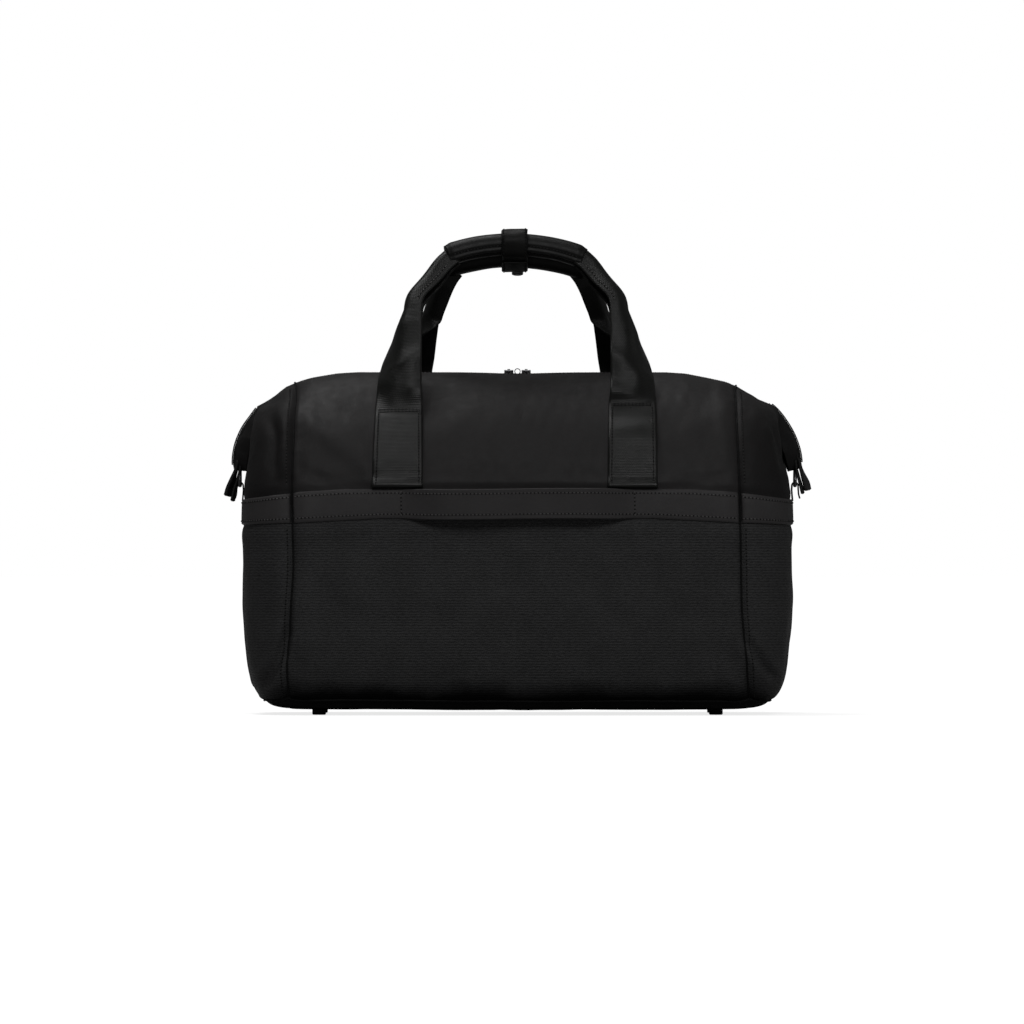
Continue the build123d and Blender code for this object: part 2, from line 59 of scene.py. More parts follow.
FACES = ("back", "right", "front", "left")  # in order round the bag, counter-clockwise from above
SIDES = (("left", -1), ("right", 1))

# ================================================================ curves and surfaces


def rise(x, start, end):
    """Smooth step from 0 at start to 1 at end."""
    part = np.clip((np.asarray(x, float) - start) / (end - start), 0.0, 1.0)
    return part * part * (3 - 2 * part)


def fade(x, start, end):
    """Smooth step from 1 at start to 0 at end."""
    return 1 - rise(x, start, end)


def bell(distance, width):
    return np.exp(-((distance / width) ** 2))


def unit(v):
    return v / np.maximum(np.linalg.norm(v, axis=-1, keepdims=True), 1e-9)


def arc_length(points):
    """Running length along a polyline."""
    return np.concatenate([[0], np.cumsum(np.linalg.norm(np.diff(points, axis=0), axis=1))])


def sample(at, run, table):
    """Every column of a table, whose rows stand at run, read off at new places."""
    return np.stack([np.interp(at, run, column) for column in table.T], 1)


def resample(path, step=None, count=None, closed=False):
    points = np.asarray(path, float)
    if closed:
        points = np.concatenate([points, points[:1]])
    run = arc_length(points)
    if count is None:
        count = max(2, int(round(run[-1] / step)) + 1)
    return sample(np.linspace(0, run[-1], count), run, points)


def spline(points, count):
    """Catmull-Rom curve through the points, evenly spaced in length."""
    p = np.asarray(points, float)
    p = np.concatenate([[2 * p[0] - p[1]], p, [2 * p[-1] - p[-2]]])
    part = np.linspace(0, 1, 24, endpoint=False)[:, None]
    curve = []
    for a, b, c, d in zip(p, p[1:], p[2:], p[3:]):
        square = (2 * a - 5 * b + 4 * c - d) * part**2
        cube = (-a + 3 * b - 3 * c + d) * part**3
        curve.append(0.5 * (2 * b + (c - a) * part + square + cube))
    curve.append(p[-2][None])
    return resample(np.concatenate(curve), count=count)


def blur(rows, sigma, closed):
    """Gaussian smoothing down a table; sigma is in rows. An open table carries on past its ends."""
    reach = int(3 * sigma) + 1
    kernel = np.exp(-0.5 * (np.arange(-reach, reach + 1) / sigma) ** 2)
    kernel /= kernel.sum()
    if closed:
        before, after = rows[-reach:], rows[:reach]
    else:
        before = 2 * rows[0] - rows[1 : reach + 1][::-1]
        after = 2 * rows[-1] - rows[-reach - 1 : -1][::-1]
    padded = np.concatenate([before, rows, after])
    return np.stack([np.convolve(column, kernel, "valid") for column in padded.T], 1)


def tangents(path):
    return unit(np.gradient(np.asarray(path, float), axis=0))


def grid_normals(grid):
    return unit(np.cross(np.gradient(grid, axis=0), np.gradient(grid, axis=1)))


class Waves:
    """Seeded smooth noise: a sum of plane waves."""

    COUNT, SPREAD = 14, 0.45

    def __init__(self, seed, wavelength, stretch=(1, 1, 1)):
        random = np.random.RandomState(seed)
        direction = random.normal(size=(self.COUNT, 3))
        direction /= np.linalg.norm(direction, axis=1, keepdims=True)
        length = wavelength * (1 + self.SPREAD * random.uniform(-1, 1, self.COUNT))
        self.number = direction / length[:, None] * 2 * math.pi / np.asarray(stretch, float)
        self.phase = random.uniform(0, 2 * math.pi, self.COUNT)

    def __call__(self, points):
        total = np.sin(np.asarray(points) @ self.number.T + self.phase).sum(-1)
        return total / math.sqrt(self.COUNT / 2) * 0.6


# ================================================================ meshes


def link(name, verts, faces, uvs, mat):
    """Make an object from points and UVs in mm."""
    mesh = bpy.data.meshes.new(name)
    points = (np.asarray(verts, float) * MM).tolist()
    mesh.from_pydata(points, [], [tuple(int(i) for i in face) for face in faces])
    if uvs is not None:
        layer = mesh.uv_layers.new(name="UVMap")
        index = np.empty(len(mesh.loops), dtype=np.int32)
        mesh.loops.foreach_get("vertex_index", index)
        uv = (np.asarray(uvs, float)[index] * MM).astype(np.float32)
        layer.data.foreach_set("uv", uv.ravel())
    mesh.update()
    obj = bpy.data.objects.new(name, mesh)
    bpy.context.scene.collection.objects.link(obj)
    mesh.polygons.foreach_set("use_smooth", [True] * len(mesh.polygons))
    mesh.materials.append(mat)
    return obj


def done(obj, body, slot, *nodes):
    """Say which body a piece rides on and which CAD nodes it replaces; slot is not used."""
    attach(obj, body)
    if nodes:
        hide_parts(*nodes)


def grid_faces(rows, columns, wrap_rows=False, wrap_columns=False, base=0, flip=False):
    """Faces of a grid stored row by row."""
    i, j = np.meshgrid(
        np.arange(rows if wrap_rows else rows - 1),
        np.arange(columns if wrap_columns else columns - 1),
        indexing="ij",
    )
    i2, j2 = (i + 1) % rows, (j + 1) % columns
    corners = [i * columns + j, i2 * columns + j, i2 * columns + j2, i * columns + j2]
    faces = np.stack(corners, -1).reshape(-1, 4) + base
    return faces[:, ::-1] if flip else faces


def tube_faces(rows, sides):
    """Faces of a tube of rings, closed by a cap at each end."""
    faces = [tuple(face) for face in grid_faces(rows, sides, wrap_columns=True)]
    faces.append(tuple(range(sides)))
    faces.append(tuple((rows - 1) * sides + j for j in range(sides))[::-1])
    return faces


def mesh_uv(u, v):
    return np.stack(np.meshgrid(u, v, indexing="ij"), -1)


def arc_uv(grid):
    """UVs of a grid from the lengths along it."""
    along = np.linalg.norm(np.diff(grid, axis=0), axis=-1).mean(1)
    across = np.linalg.norm(np.diff(grid, axis=1), axis=-1).mean(0)
    return mesh_uv(
        np.concatenate([[0], np.cumsum(along)]), np.concatenate([[0], np.cumsum(across)])
    )


def sheet(name, grid, thick, mat, uv=None, flip=False, centred=False):
    """Cloth whose outer face is the grid, or whose middle is if centred."""
    grid = np.asarray(grid, float)
    rows, columns = grid.shape[:2]
    count = rows * columns
    normals = grid_normals(grid) * (-1 if flip else 1)
    if centred:
        grid = grid + normals * (thick / 2)
    if uv is None:
        uv = arc_uv(grid)
    outer = grid.reshape(-1, 3)
    inner = (grid - normals * thick).reshape(-1, 3)
    ring = np.concatenate([
        np.arange(rows) * columns,
        (rows - 1) * columns + np.arange(1, columns),
        np.arange(rows - 2, -1, -1) * columns + columns - 1,
        np.arange(columns - 2, 0, -1),
    ])
    # the rim is carried round at half depth, slightly proud, so the cut edge reads as rounded
    along = np.roll(outer[ring], -1, 0) - np.roll(outer[ring], 1, 0)
    away = unit(np.cross(along, normals.reshape(-1, 3)[ring]))
    sign = np.sign((away * (outer[ring] - grid[rows // 2, columns // 2])).sum(-1).mean())
    rim = (outer[ring] + inner[ring]) / 2 + away * sign * min(thick * 0.35, 0.8)
    ring2 = np.roll(ring, -1)
    edge = 2 * count + np.arange(len(ring))
    edge2 = np.roll(edge, -1)
    strips = [
        np.stack([ring2, ring, edge, edge2], -1),
        np.stack([edge2, edge, ring + count, ring2 + count], -1),
    ]
    if flip:
        strips = [strip[:, ::-1] for strip in strips]
    faces = [
        grid_faces(rows, columns, flip=flip),
        grid_faces(rows, columns, base=count, flip=not flip),
        *strips,
    ]
    flat_uv = uv.reshape(-1, 2)
    uvs = np.concatenate([flat_uv, flat_uv, flat_uv[ring]])
    return link(name, np.concatenate([outer, inner, rim]), np.concatenate(faces), uvs, mat)


def double_shell(outer, inner, open_last):
    """Two nested tubes joined along one end row, each capped at the other end."""
    rows, columns = outer.shape[:2]
    count = rows * columns
    j = np.arange(columns)
    j2 = (j + 1) % columns
    last = count - columns
    rim, cap = (last, 0) if open_last else (0, last)
    strip = np.stack([rim + j, count + rim + j, count + rim + j2, rim + j2], -1)
    turn = 1 if open_last else -1
    faces = [*grid_faces(rows, columns, wrap_columns=True, flip=open_last)]
    faces += [*grid_faces(rows, columns, wrap_columns=True, base=count, flip=not open_last)]
    faces += [*strip[:, ::turn], (cap + j)[::turn], (count + cap + j)[::-turn]]
    return np.concatenate([outer.reshape(-1, 3), inner.reshape(-1, 3)]), faces


def tube_rings(path, normals, radius, sides, closed=False, flat=1.0):
    """Rings round a path; flat squeezes them along the normals."""
    if closed:
        along = unit(np.roll(path, -1, 0) - np.roll(path, 1, 0))
    else:
        along = tangents(path)
    side = unit(np.cross(along, normals))
    angle = np.arange(sides) / sides * 2 * math.pi
    radius = np.broadcast_to(np.asarray(radius, float), (len(path),))
    up = unit(np.cross(side, along))
    ring = side[:, None] * np.cos(angle)[None, :, None]
    ring = ring + up[:, None] * (np.sin(angle) * flat)[None, :, None]
    return path[:, None] + ring * radius[:, None, None]


def tube(name, path, normals, radius, mat, sides, closed=False):
    rings = tube_rings(path, np.broadcast_to(normals, path.shape), radius, sides, closed)
    if closed:
        faces = grid_faces(len(path), sides, wrap_rows=True, wrap_columns=True)
    else:
        faces = tube_faces(len(path), sides)
    return link(name, rings.reshape(-1, 3), faces, arc_uv(rings).reshape(-1, 2), mat)


class Bag:
    """Collects many small closed shapes into one mesh."""

    def __init__(self):
        self.verts, self.faces, self.uvs, self.count = [], [], [], 0

    def add(self, verts, faces, uv=None):
        self.verts.append(verts)
        self.faces += [tuple(int(i) + self.count for i in face) for face in faces]
        self.uvs.append(verts[:, [0, 2]] if uv is None else uv)
        self.count += len(verts)

    def make(self, name, mat):
        return link(name, np.concatenate(self.verts), self.faces, np.concatenate(self.uvs), mat)


GRAIN_SIDES = 6
GRAIN_RINGS = ((0.0, 0.55), (0.22, 1.0), (0.78, 1.0), (1.0, 0.55))  # place, part of the radius
GRAIN_FACES = tube_faces(len(GRAIN_RINGS), GRAIN_SIDES)


def add_grains(bag, starts, ends, normals, radius, flat=0.75):
    """Small rounded grains from starts to ends, lying on a surface."""
    along = unit(ends - starts)
    side = unit(np.cross(along, normals))
    up = np.cross(side, along)
    angle = np.arange(GRAIN_SIDES) / GRAIN_SIDES * 2 * math.pi
    for k in range(len(starts)):
        ring = np.cos(angle)[:, None] * side[k] + flat * np.sin(angle)[:, None] * up[k]
        rows = [
            starts[k] + (ends[k] - starts[k]) * place + radius * part * ring
            for place, part in GRAIN_RINGS
        ]
        bag.add(np.concatenate(rows), GRAIN_FACES)


STITCHES = {  # pitch, stitch length, thread radius, lift off the cloth
    "band": (3.25, 1.88, 0.468, 0.16),
    "sleeve_end": (3.0, 1.68, 0.468, 0.10),
    "ridge": (3.2, 1.84, 0.442, 0.15),
    "seam": (3.2, 1.76, 0.39, 0.05),
    "strap_fold": (2.9, 1.68, 0.494, 0.15),
    "strap_edge": (3.0, 1.68, 0.442, 0.12),
    "leg": (3.2, 1.76, 0.442, 0.12),
    "grip": (2.9, 1.6, 0.39, 0.10),
    "wrap": (2.8, 1.52, 0.364, 0.10),
    "wing": (3.0, 1.68, 0.364, 0.12),
    "tab": (2.8, 1.6, 0.416, 0.0),
    "pocket": (3.25, 1.88, 0.468, 0.10),
}


class Stitches:
    """Rows of thread, with near-black grains between the stitches as painted shade for the needle
    holes.
    """

    def __init__(self):
        self.thread, self.holes = Bag(), Bag()

    def row(self, style, line, normals):
        pitch, length, radius, lift = STITCHES[style]
        normals = np.broadcast_to(np.asarray(normals, float), line.shape)
        run = arc_length(line)
        count = int(run[-1] // pitch)

        def lay(bag, places, half, lift, radius):
            up = unit(sample(places, run, normals))
            starts = sample(places - half, run, line) + up * lift
            ends = sample(places + half, run, line) + up * lift
            add_grains(bag, starts, ends, up, radius)

        step = run[-1] / count
        lay(self.thread, (np.arange(count) + 0.5) * step, length / 2, lift, radius)
        # the holes are near-black grains, painted shade where the needle went through
        hole = max(0.42 * (pitch - length), 0.35) + 0.2
        lay(self.holes, np.arange(1, count) * step, 0.4, lift - 0.06, hole)

    def make(self, name, body, slot, mat="thread"):
        done(self.thread.make(name, MATS[mat]), body, slot)
        done(self.holes.make(name + "_holes", MATS["hole"]), body, slot)


# ================================================================ materials


def rgb(color, gain=1.0):
    return (*(c * gain for c in color), 1.0)


class Shader:
    """A Principled material and short ways to make its nodes."""

    def __init__(self, name):
        self.mat = bpy.data.materials.new(name)
        self.mat.use_nodes = True
        self.tree = self.mat.node_tree
        self.tree.nodes.clear()
        output = self.node("OutputMaterial")
        self.principled = self.node("BsdfPrincipled")
        self.tree.links.new(self.principled.outputs[0], output.inputs[0])
        self.coords = self.node("TexCoord")

    def node(self, kind):
        return self.tree.nodes.new("ShaderNode" + kind)

    def put(self, socket, value):
        if isinstance(value, bpy.types.NodeSocket):
            self.tree.links.new(value, socket)
        else:
            socket.default_value = value

    def set(self, **values):
        for key, value in values.items():
            self.put(self.principled.inputs[key.replace("_", " ")], value)

    def math(self, operation, *values):
        node = self.node("Math")
        node.operation = operation
        for socket, value in zip(node.inputs, values):
            self.put(socket, value)
        return node.outputs[0]

    def coord(self, kind, scale=(1000, 1000, 1000)):
        """Coordinates in mm unless another scale is given."""
        node = self.node("Mapping")
        self.put(node.inputs["Vector"], self.coords.outputs[kind])
        node.inputs["Scale"].default_value = scale
        return node.outputs[0]

    def split(self, vector):
        node = self.node("SeparateXYZ")
        self.put(node.inputs[0], vector)
        return node.outputs

    def noise(self, vector, scale, detail=3.0, rough=0.55):
        node = self.node("TexNoise")
        for key, value in (
            ("Vector", vector), ("Scale", scale), ("Detail", detail), ("Roughness", rough),
        ):
            self.put(node.inputs[key], value)
        return node.outputs[0]

    def grey_ramp(self, fac, low, high):
        node = self.node("ValToRGB")
        self.put(node.inputs[0], fac)
        for element, place, value in zip(node.color_ramp.elements, (0.0, 1.0), (low, high)):
            element.position = place
            element.color = (value, value, value, 1.0)
        return node.outputs[0]

    def mix(self, fac, first, second, mode="MIX"):
        node = self.node("Mix")
        node.data_type = "RGBA"
        node.blend_type = mode
        for socket, value in ((0, fac), (6, first), (7, second)):
            self.put(node.inputs[socket], value)
        return node.outputs[2]

    def remap(self, fac, from_min, from_max, to_min, to_max):
        node = self.node("MapRange")
        for socket, value in zip(node.inputs, (fac, from_min, from_max, to_min, to_max)):
            self.put(socket, value)
        return node.outputs[0]

    def bump(self, height, depth, strength, normal=None):
        """depth is in mm."""
        node = self.node("Bump")
        self.put(node.inputs["Height"], height)
        node.inputs["Distance"].default_value = depth * MM
        node.inputs["Strength"].default_value = strength
        if normal is not None:
            self.put(node.inputs["Normal"], normal)
        return node.outputs[0]


def cloth(name, color, pitch, relief, depth, rough, spec,
          vary=0.22, worn=0.12, broken=0.0, sheen=0.0, painted_shade=None):
    """Woven cloth.

    pitch is the thread spacing along U and V, relief how strongly the cross ribs and the weave
    show, vary the slow change of tone, worn the pale lint, and broken breaks ribs into short
    floats. The last argument is painted shade, (low height, high height, shade at the low one).
    """
    s = Shader(name)
    (pitch_u, pitch_v), (rib, weave) = pitch, relief
    uv, obj = s.coord("UV"), s.coord("Object")
    x, y, _ = s.split(uv)
    wobble = s.noise(uv, scale=0.16, detail=2.0)
    shift = s.math("MULTIPLY", s.math("SUBTRACT", wobble, 0.5), 1.1)
    if broken > 0.5:
        tear = s.noise(uv, scale=0.30, detail=2.0, rough=0.6)
        shift = s.math("MULTIPLY_ADD", s.math("SUBTRACT", tear, 0.5), 7.5, shift)

    # cross ribs along V, and a weave that shifts half a thread from rib to rib
    rib_phase = s.math("ADD", s.math("MULTIPLY", y, 2 * math.pi / pitch_v), shift)
    ribs = s.math("MULTIPLY_ADD", s.math("SINE", rib_phase), 0.5, 0.5)
    thread_phase = s.math("MULTIPLY", x, 2 * math.pi / pitch_u)
    half = s.math("MULTIPLY", y, math.pi / pitch_v)
    threads = s.math("SINE", s.math("ADD", thread_phase, half))
    threads = s.math("MULTIPLY_ADD", threads, 0.5, 0.5)
    height = s.math("ADD", s.math("MULTIPLY", ribs, rib), s.math("MULTIPLY", threads, weave))
    if broken:
        float_scale = (1000 / (pitch_u * 2.2), 1000 / (pitch_v * 0.5), 1000)
        fine = s.noise(s.coord("UV", float_scale), scale=1.0, detail=2.0, rough=0.6)
        height = s.math("MULTIPLY_ADD", s.math("SUBTRACT", fine, 0.5), broken, height)

    # tone: raised threads are paler and the hollows between them darker, painted light and shade of
    # the weave; patches differ slowly, lint shows here and there
    centred = s.math("SUBTRACT", height, 0.5 * (rib + weave))
    tone = s.math("MULTIPLY_ADD", centred, 0.9, 1.0)
    slow = s.noise(obj, scale=0.035)
    tone = s.math("MULTIPLY", tone, s.remap(slow, 0.25, 0.75, 1 - vary, 1 + vary))
    lint = s.noise(obj, scale=1.4, detail=4.0, rough=0.7)
    tone = s.math("ADD", tone, s.remap(lint, 0.60, 0.78, 0.0, worn))
    s.set(Specular_IOR_Level=spec)
    if painted_shade:
        # painted shade: darker below a wavering height, less so at the rounded ends, with the
        # specular dimmed alike
        low, high, dark = painted_shade
        end_x, _, z = s.split(obj)
        waver = s.math("SUBTRACT", s.noise(obj, scale=0.030, detail=2.0), 0.5)
        lift = s.math("MULTIPLY_ADD", waver, 16.0, z)
        lift = s.math("ADD", lift, s.remap(s.math("ABSOLUTE", end_x), 202, 226, 0.0, 12.0))
        shade = s.remap(lift, low, high, dark, 1.0)
        tone = s.math("MULTIPLY", tone, shade)
        s.set(Specular_IOR_Level=s.math("MULTIPLY", shade, spec))
    # the ramp reaches 2.5, so tone goes in at 1 / 2.5
    gain = s.grey_ramp(s.math("MULTIPLY", tone, 0.4), low=0.0, high=2.5)
    normal = s.bump(height, depth=depth, strength=0.9)
    normal = s.bump(s.noise(obj, scale=0.22), depth=0.5, strength=0.35, normal=normal)
    s.set(
        Base_Color=s.mix(1.0, rgb(color), gain, "MULTIPLY"),
        Normal=normal,
        Roughness=s.remap(s.noise(obj, scale=0.12), 0.3, 0.7, rough - 0.05, rough + 0.07),
        Sheen_Weight=sheen,
        Sheen_Roughness=0.45,
        Sheen_Tint=(1, 1, 1, 1),
    )
    return s.mat


def metal(name, color, rough):
    """Dark metal, brushed along x and rubbed paler on its edges."""
    s = Shader(name)
    grain = s.noise(s.coord("Object"), scale=0.9, detail=4.0, rough=0.65)
    scratch = s.noise(s.coord("Object", (400, 3000, 3000)), scale=1.0, rough=0.6)
    edge = s.remap(s.node("NewGeometry").outputs["Pointiness"], 0.52, 0.62, 0.0, 1.0)
    normal = s.bump(grain, depth=0.04, strength=0.4)
    both = s.math("ADD", grain, scratch)
    s.set(
        Base_Color=s.mix(s.math("MULTIPLY", edge, 0.55), rgb(color), rgb((0.16, 0.16, 0.165))),
        Roughness=s.remap(both, 0.7, 1.3, rough - 0.08, rough + 0.12),
        Metallic=0.85,
        Normal=s.bump(scratch, depth=0.02, strength=0.5, normal=normal),
    )
    return s.mat


def plastic(name, grey, rough, grain, depth):
    """Plastic or rubber with a cellular grain; grain is in cells per mm."""
    s = Shader(name)
    obj = s.coord("Object")
    cells = s.node("TexVoronoi")
    s.put(cells.inputs["Vector"], obj)
    cells.inputs["Scale"].default_value = grain
    patches = s.noise(obj, scale=0.2)
    color = (grey, grey, grey)
    fac = s.remap(patches, 0.3, 0.7, 0, 1)
    s.set(
        Base_Color=s.mix(fac, rgb(color, 0.8), rgb(color, 1.25)),
        Roughness=s.remap(patches, 0.3, 0.7, rough - 0.06, rough + 0.08),
        Normal=s.bump(cells.outputs[0], depth=depth, strength=0.5),
        Specular_IOR_Level=0.15,
    )
    return s.mat


CLOTHS = {  # name, colour, pitch, relief, bump depth, roughness, specular, other arguments
    # lower: painted shade takes colour and specular to 14 percent below about 31 to 16 mm up, where
    # the cloth turns under towards the floor
    "lower": ("lower_ribbed_cloth", (0.0176, 0.0176, 0.0179), (1.5, 2.4), (0.60, 0.25),
              0.34, 0.58, 0.08, dict(vary=0.14, broken=1.5, worn=0.06, painted_shade=(16.0, 31.0, 0.14))),
    "base": ("base_coated_cloth", (0.004, 0.004, 0.004), (1.0, 1.0), (0.5, 0.5),
             0.12, 0.6, 0.04, {}),
    "upper": ("upper_satin_cloth", (0.0124, 0.0118, 0.0119), (0.55, 0.55), (0.5, 0.5),
              0.05, 0.50, 0.065, dict(vary=0.08, worn=0.03)),
    "band": ("band_satin_cloth", (0.0240, 0.0229, 0.0233), (0.55, 0.6), (0.5, 0.5),
             0.05, 0.50, 0.08, dict(vary=0.08, worn=0.03)),
    # upper_end: the upper satin painted about 13 percent darker, with a weaker specular, as painted
    # shade on the end gussets; below about 272 to 256 mm, painted shade takes it further, to 76
    # percent
    "upper_end": ("upper_end_satin_cloth", (0.0108, 0.0103, 0.0104), (0.55, 0.55), (0.5, 0.5),
                  0.05, 0.52, 0.05, dict(vary=0.08, worn=0.03, painted_shade=(256.0, 272.0, 0.76))),
    "wing": ("wing_satin_cloth", (0.0042, 0.0040, 0.0040), (0.55, 0.55), (0.5, 0.5),
             0.05, 0.52, 0.08, dict(vary=0.12, worn=0.03)),
    "binding": ("seam_binding_cloth", (0.0040, 0.0040, 0.0040), (0.9, 0.9), (0.6, 0.4),
                0.08, 0.7, 0.06, {}),
    "webbing": ("handle_webbing", (0.0056, 0.0058, 0.0054), (1.7, 1.35), (0.62, 0.38),
                0.16, 0.32, 0.11, dict(vary=0.10, broken=0.25, worn=0.04)),
    "tabweb": ("tab_webbing", (0.0070, 0.0070, 0.0070), (1.6, 2.1), (0.8, 0.2),
               0.4, 0.5, 0.12, {}),
    "grip": ("grip_cover_cloth", (0.0040, 0.0040, 0.0039), (0.7, 0.7), (0.5, 0.5),
             0.05, 0.40, 0.09, dict(vary=0.2, worn=0.08)),
    "wrap": ("wrap_cloth", (0.0040, 0.0040, 0.0038), (0.6, 0.6), (0.5, 0.5),
             0.05, 0.44, 0.07, dict(vary=0.2, worn=0.08)),
    "tape": ("zip_tape_cloth", (0.0070, 0.0070, 0.0070), (0.8, 0.8), (0.5, 0.5),
             0.1, 0.65, 0.08, {}),
    "thread": ("thread", (0.0420, 0.0400, 0.0400), (0.5, 0.5), (0.6, 0.4),
               0.08, 0.5, 0.2, {}),
    "thread2": ("thread_dull", (0.0140, 0.0135, 0.0135), (0.5, 0.5), (0.6, 0.4),
                0.08, 0.5, 0.12, {}),
    "thread3": ("thread_black", (0.0060, 0.0058, 0.0058), (0.5, 0.5), (0.6, 0.4),
                0.08, 0.5, 0.10, {}),
    "lining": ("lining_cloth", (0.0350, 0.0350, 0.0370), (0.8, 0.8), (0.5, 0.5),
               0.05, 0.55, 0.35, dict(sheen=0.1)),
}
PLASTICS = {  # name, grey, roughness, grain, bump depth; no piece here wears the foam
    "foam": ("grip_foam_rubber", 0.008, 0.8, 0.6, 0.2),
    "coil": ("zip_coil_plastic", 0.006, 0.38, 1.2, 0.03),
    # hole: near-black, painted shade for the needle holes between stitches
    "hole": ("needle_hole_painted_shade", 0.0006, 0.9, 1.0, 0.02),
    "board": ("base_board", 0.02, 0.6, 0.5, 0.1),
    "rubber": ("foot_rubber", 0.010, 0.62, 1.4, 0.06),
}
METALS = {  # name, colour, roughness
    "zipmetal": ("zip_dark_metal", (0.035, 0.035, 0.037), 0.36),
    "ringmetal": ("ring_dark_metal", (0.05, 0.05, 0.052), 0.30),
}
MATS = {key: cloth(*row, **options) for key, (*row, options) in CLOTHS.items()}
MATS.update({key: plastic(*row) for key, row in PLASTICS.items()})
MATS.update({key: metal(*row) for key, row in METALS.items()})

# ================================================================ the body's lofted shape
LEVELS = np.array([  # height at mid length, half length, half depth, corner radius, end droop
    (5.0, 196.0, 82.0, 34.0, 0.0),
    (5.6, 207.0, 90.0, 36.0, 0.0),
    (8.6, 217.5, 98.0, 39.0, 0.0),
    (15.0, 226.0, 105.0, 42.0, 0.0),
    (25.0, 231.5, 110.0, 45.0, 0.0),
    (40.0, 235.0, 113.0, 47.0, 0.0),
    (65.0, 237.0, 115.0, 48.0, 0.0),
    (100.0, 238.2, 116.0, 48.0, 0.0),
    (140.0, 239.0, 115.6, 48.0, 0.0),
    (167.0, 239.0, 114.2, 48.0, 0.0),
    (183.0, 238.6, 113.0, 48.0, 0.0),
    (200.0, 238.0, 111.0, 49.0, 0.6),
    (215.0, 236.6, 107.0, 50.0, 2.4),
    (230.0, 234.8, 101.0, 50.0, 5.4),
    (245.0, 233.0, 93.0, 50.0, 9.2),
    (258.0, 231.5, 83.5, 49.0, 13.2),
    (270.0, 230.4, 72.0, 46.0, 17.5),
    (280.0, 229.6, 59.0, 40.0, 21.4),
    (288.0, 229.0, 45.0, 32.0, 24.6),
    (293.5, 228.6, 31.0, 24.0, 27.0),
    (296.8, 228.4, 19.0, 16.0, 28.4),
    (298.0, 228.2, 11.0, 9.0, 29.2),
    (297.6, 228.0, 8.4, 7.0, 29.2),
])
# distance from mid length, droop (as a share of the end droop once divided)
DROOP_RIGHT = (
    np.array([130, 146.6, 164, 182.3, 191.8, 198.8, 205.8, 211, 219, 226.6, 240]),
    np.array([0, 1.1, 4.4, 8.1, 11.2, 14.8, 18.5, 22, 25.2, 29, 36]) / 29.0,
)
DROOP_LEFT = (
    np.array([140, 157.9, 178.8, 192.7, 202.3, 207.5, 211.9, 217, 223, 230, 242]),
    np.array([0, 1.1, 4.6, 8.1, 11.6, 15, 18.5, 22, 25.5, 29, 36]) / 29.0,
)
# height, x of the vertical seams
SEAM_LEFT = ([5, 13, 39, 129, 191, 288, 300],
             [-200.0, -200.9, -200.9, -194.9, -196.6, -194.6, -194.4])
SEAM_RIGHT = ([5, 13, 50, 89, 197, 286, 300],
              [202.5, 203.0, 199.2, 195.3, 193.2, 191.2, 191.0])
LEVEL_COUNT, ACROSS_COUNT, OUTLINE_COUNT = 420, 181, 900


def dense_levels(sigma=5.0):
    """LEVELS at an even spacing along the profile, smoothed over sigma mm."""
    run = arc_length(LEVELS[:, [0, 2]])
    levels = np.linspace(0, run[-1], LEVEL_COUNT)
    return levels, blur(sample(levels, run, LEVELS), sigma / levels[1], closed=False)


# a level is a distance up the profile
LEVEL_RUN, PROFILE = dense_levels()
HIGHEST = int(np.argmax(PROFILE[:, 0]))
TOP = float(LEVEL_RUN[-1])


def level_at_height(z):
    return np.interp(z, PROFILE[:HIGHEST, 0], LEVEL_RUN[:HIGHEST])


BOTTOM_SEAM = float(np.interp(12.0, PROFILE[:300, 0], LEVEL_RUN[:300]))
WAIST = float(level_at_height(183.0))


def droop(x):
    return np.where(x > 0, np.interp(x, *DROOP_RIGHT), np.interp(-x, *DROOP_LEFT))


def seam_x(z, table, reach=9.0):
    return sum(np.interp(z + k * reach, *table) for k in (-1, -0.5, 0, 0.5, 1)) / 5.0


def outline(half_length, half_depth, radius):
    """A rounded rectangle from the middle of its back, counter-clockwise, and its girth."""
    radius = min(radius, half_depth * 0.95, half_length * 0.9)
    x, y = half_length - radius, half_depth - radius
    points = [(0.0, -half_depth), (x, -half_depth)]
    for cx, cy, start in ((x, -y, -90), (x, y, 0), (-x, y, 90), (-x, -y, 180)):
        angle = np.radians(np.linspace(start, start + 90, 16))
        points += list(zip(cx + radius * np.cos(angle), cy + radius * np.sin(angle)))
    points = np.array(points + [(0.0, -half_depth)])
    run = arc_length(points)
    ring = sample(np.linspace(0, run[-1], OUTLINE_COUNT + 1)[:-1], run, points)
    sigma = min(9.0, 0.22 * half_depth) / (run[-1] / OUTLINE_COUNT)
    return blur(ring, sigma, closed=True), run[-1]


def split_level(height, half_length, half_depth, radius, end_droop):
    """One level's outline cut at the four vertical seams: points of each face."""
    ring, girth = outline(half_length, half_depth, radius)
    count = len(ring)
    half = count // 2
    left, right = float(seam_x(height, SEAM_LEFT)), float(seam_x(height, SEAM_RIGHT))

    def crossing(index, x):
        before, after = ring[index - 1, 0], ring[index % count, 0]
        part = min(max((x - before) / (after - before), 0), 1)
        return (index - 1 + part) * girth / count

    cuts = [
        crossing(int(np.argmax(ring[:, 0] >= right)), right),
        crossing(half - int(np.argmax(ring[:half][::-1, 0] >= right)), right),
        crossing(half + int(np.argmax(ring[half:, 0] <= left)), left),
        crossing(count - int(np.argmax(ring[::-1, 0] <= left)), left),
    ]
    closed = np.concatenate([ring, ring[:1]])
    run = np.arange(count + 1) * girth / count
    faces = []
    for start, end in zip([cuts[3] - girth] + cuts, cuts):
        x, y = sample(np.linspace(start, end, ACROSS_COUNT) % girth, run, closed).T
        faces.append(np.stack([x, y, height - end_droop * droop(x)], 1))
    return faces


# face, level, across, xyz
LOFT = np.stack([split_level(*row) for row in PROFILE], 1)

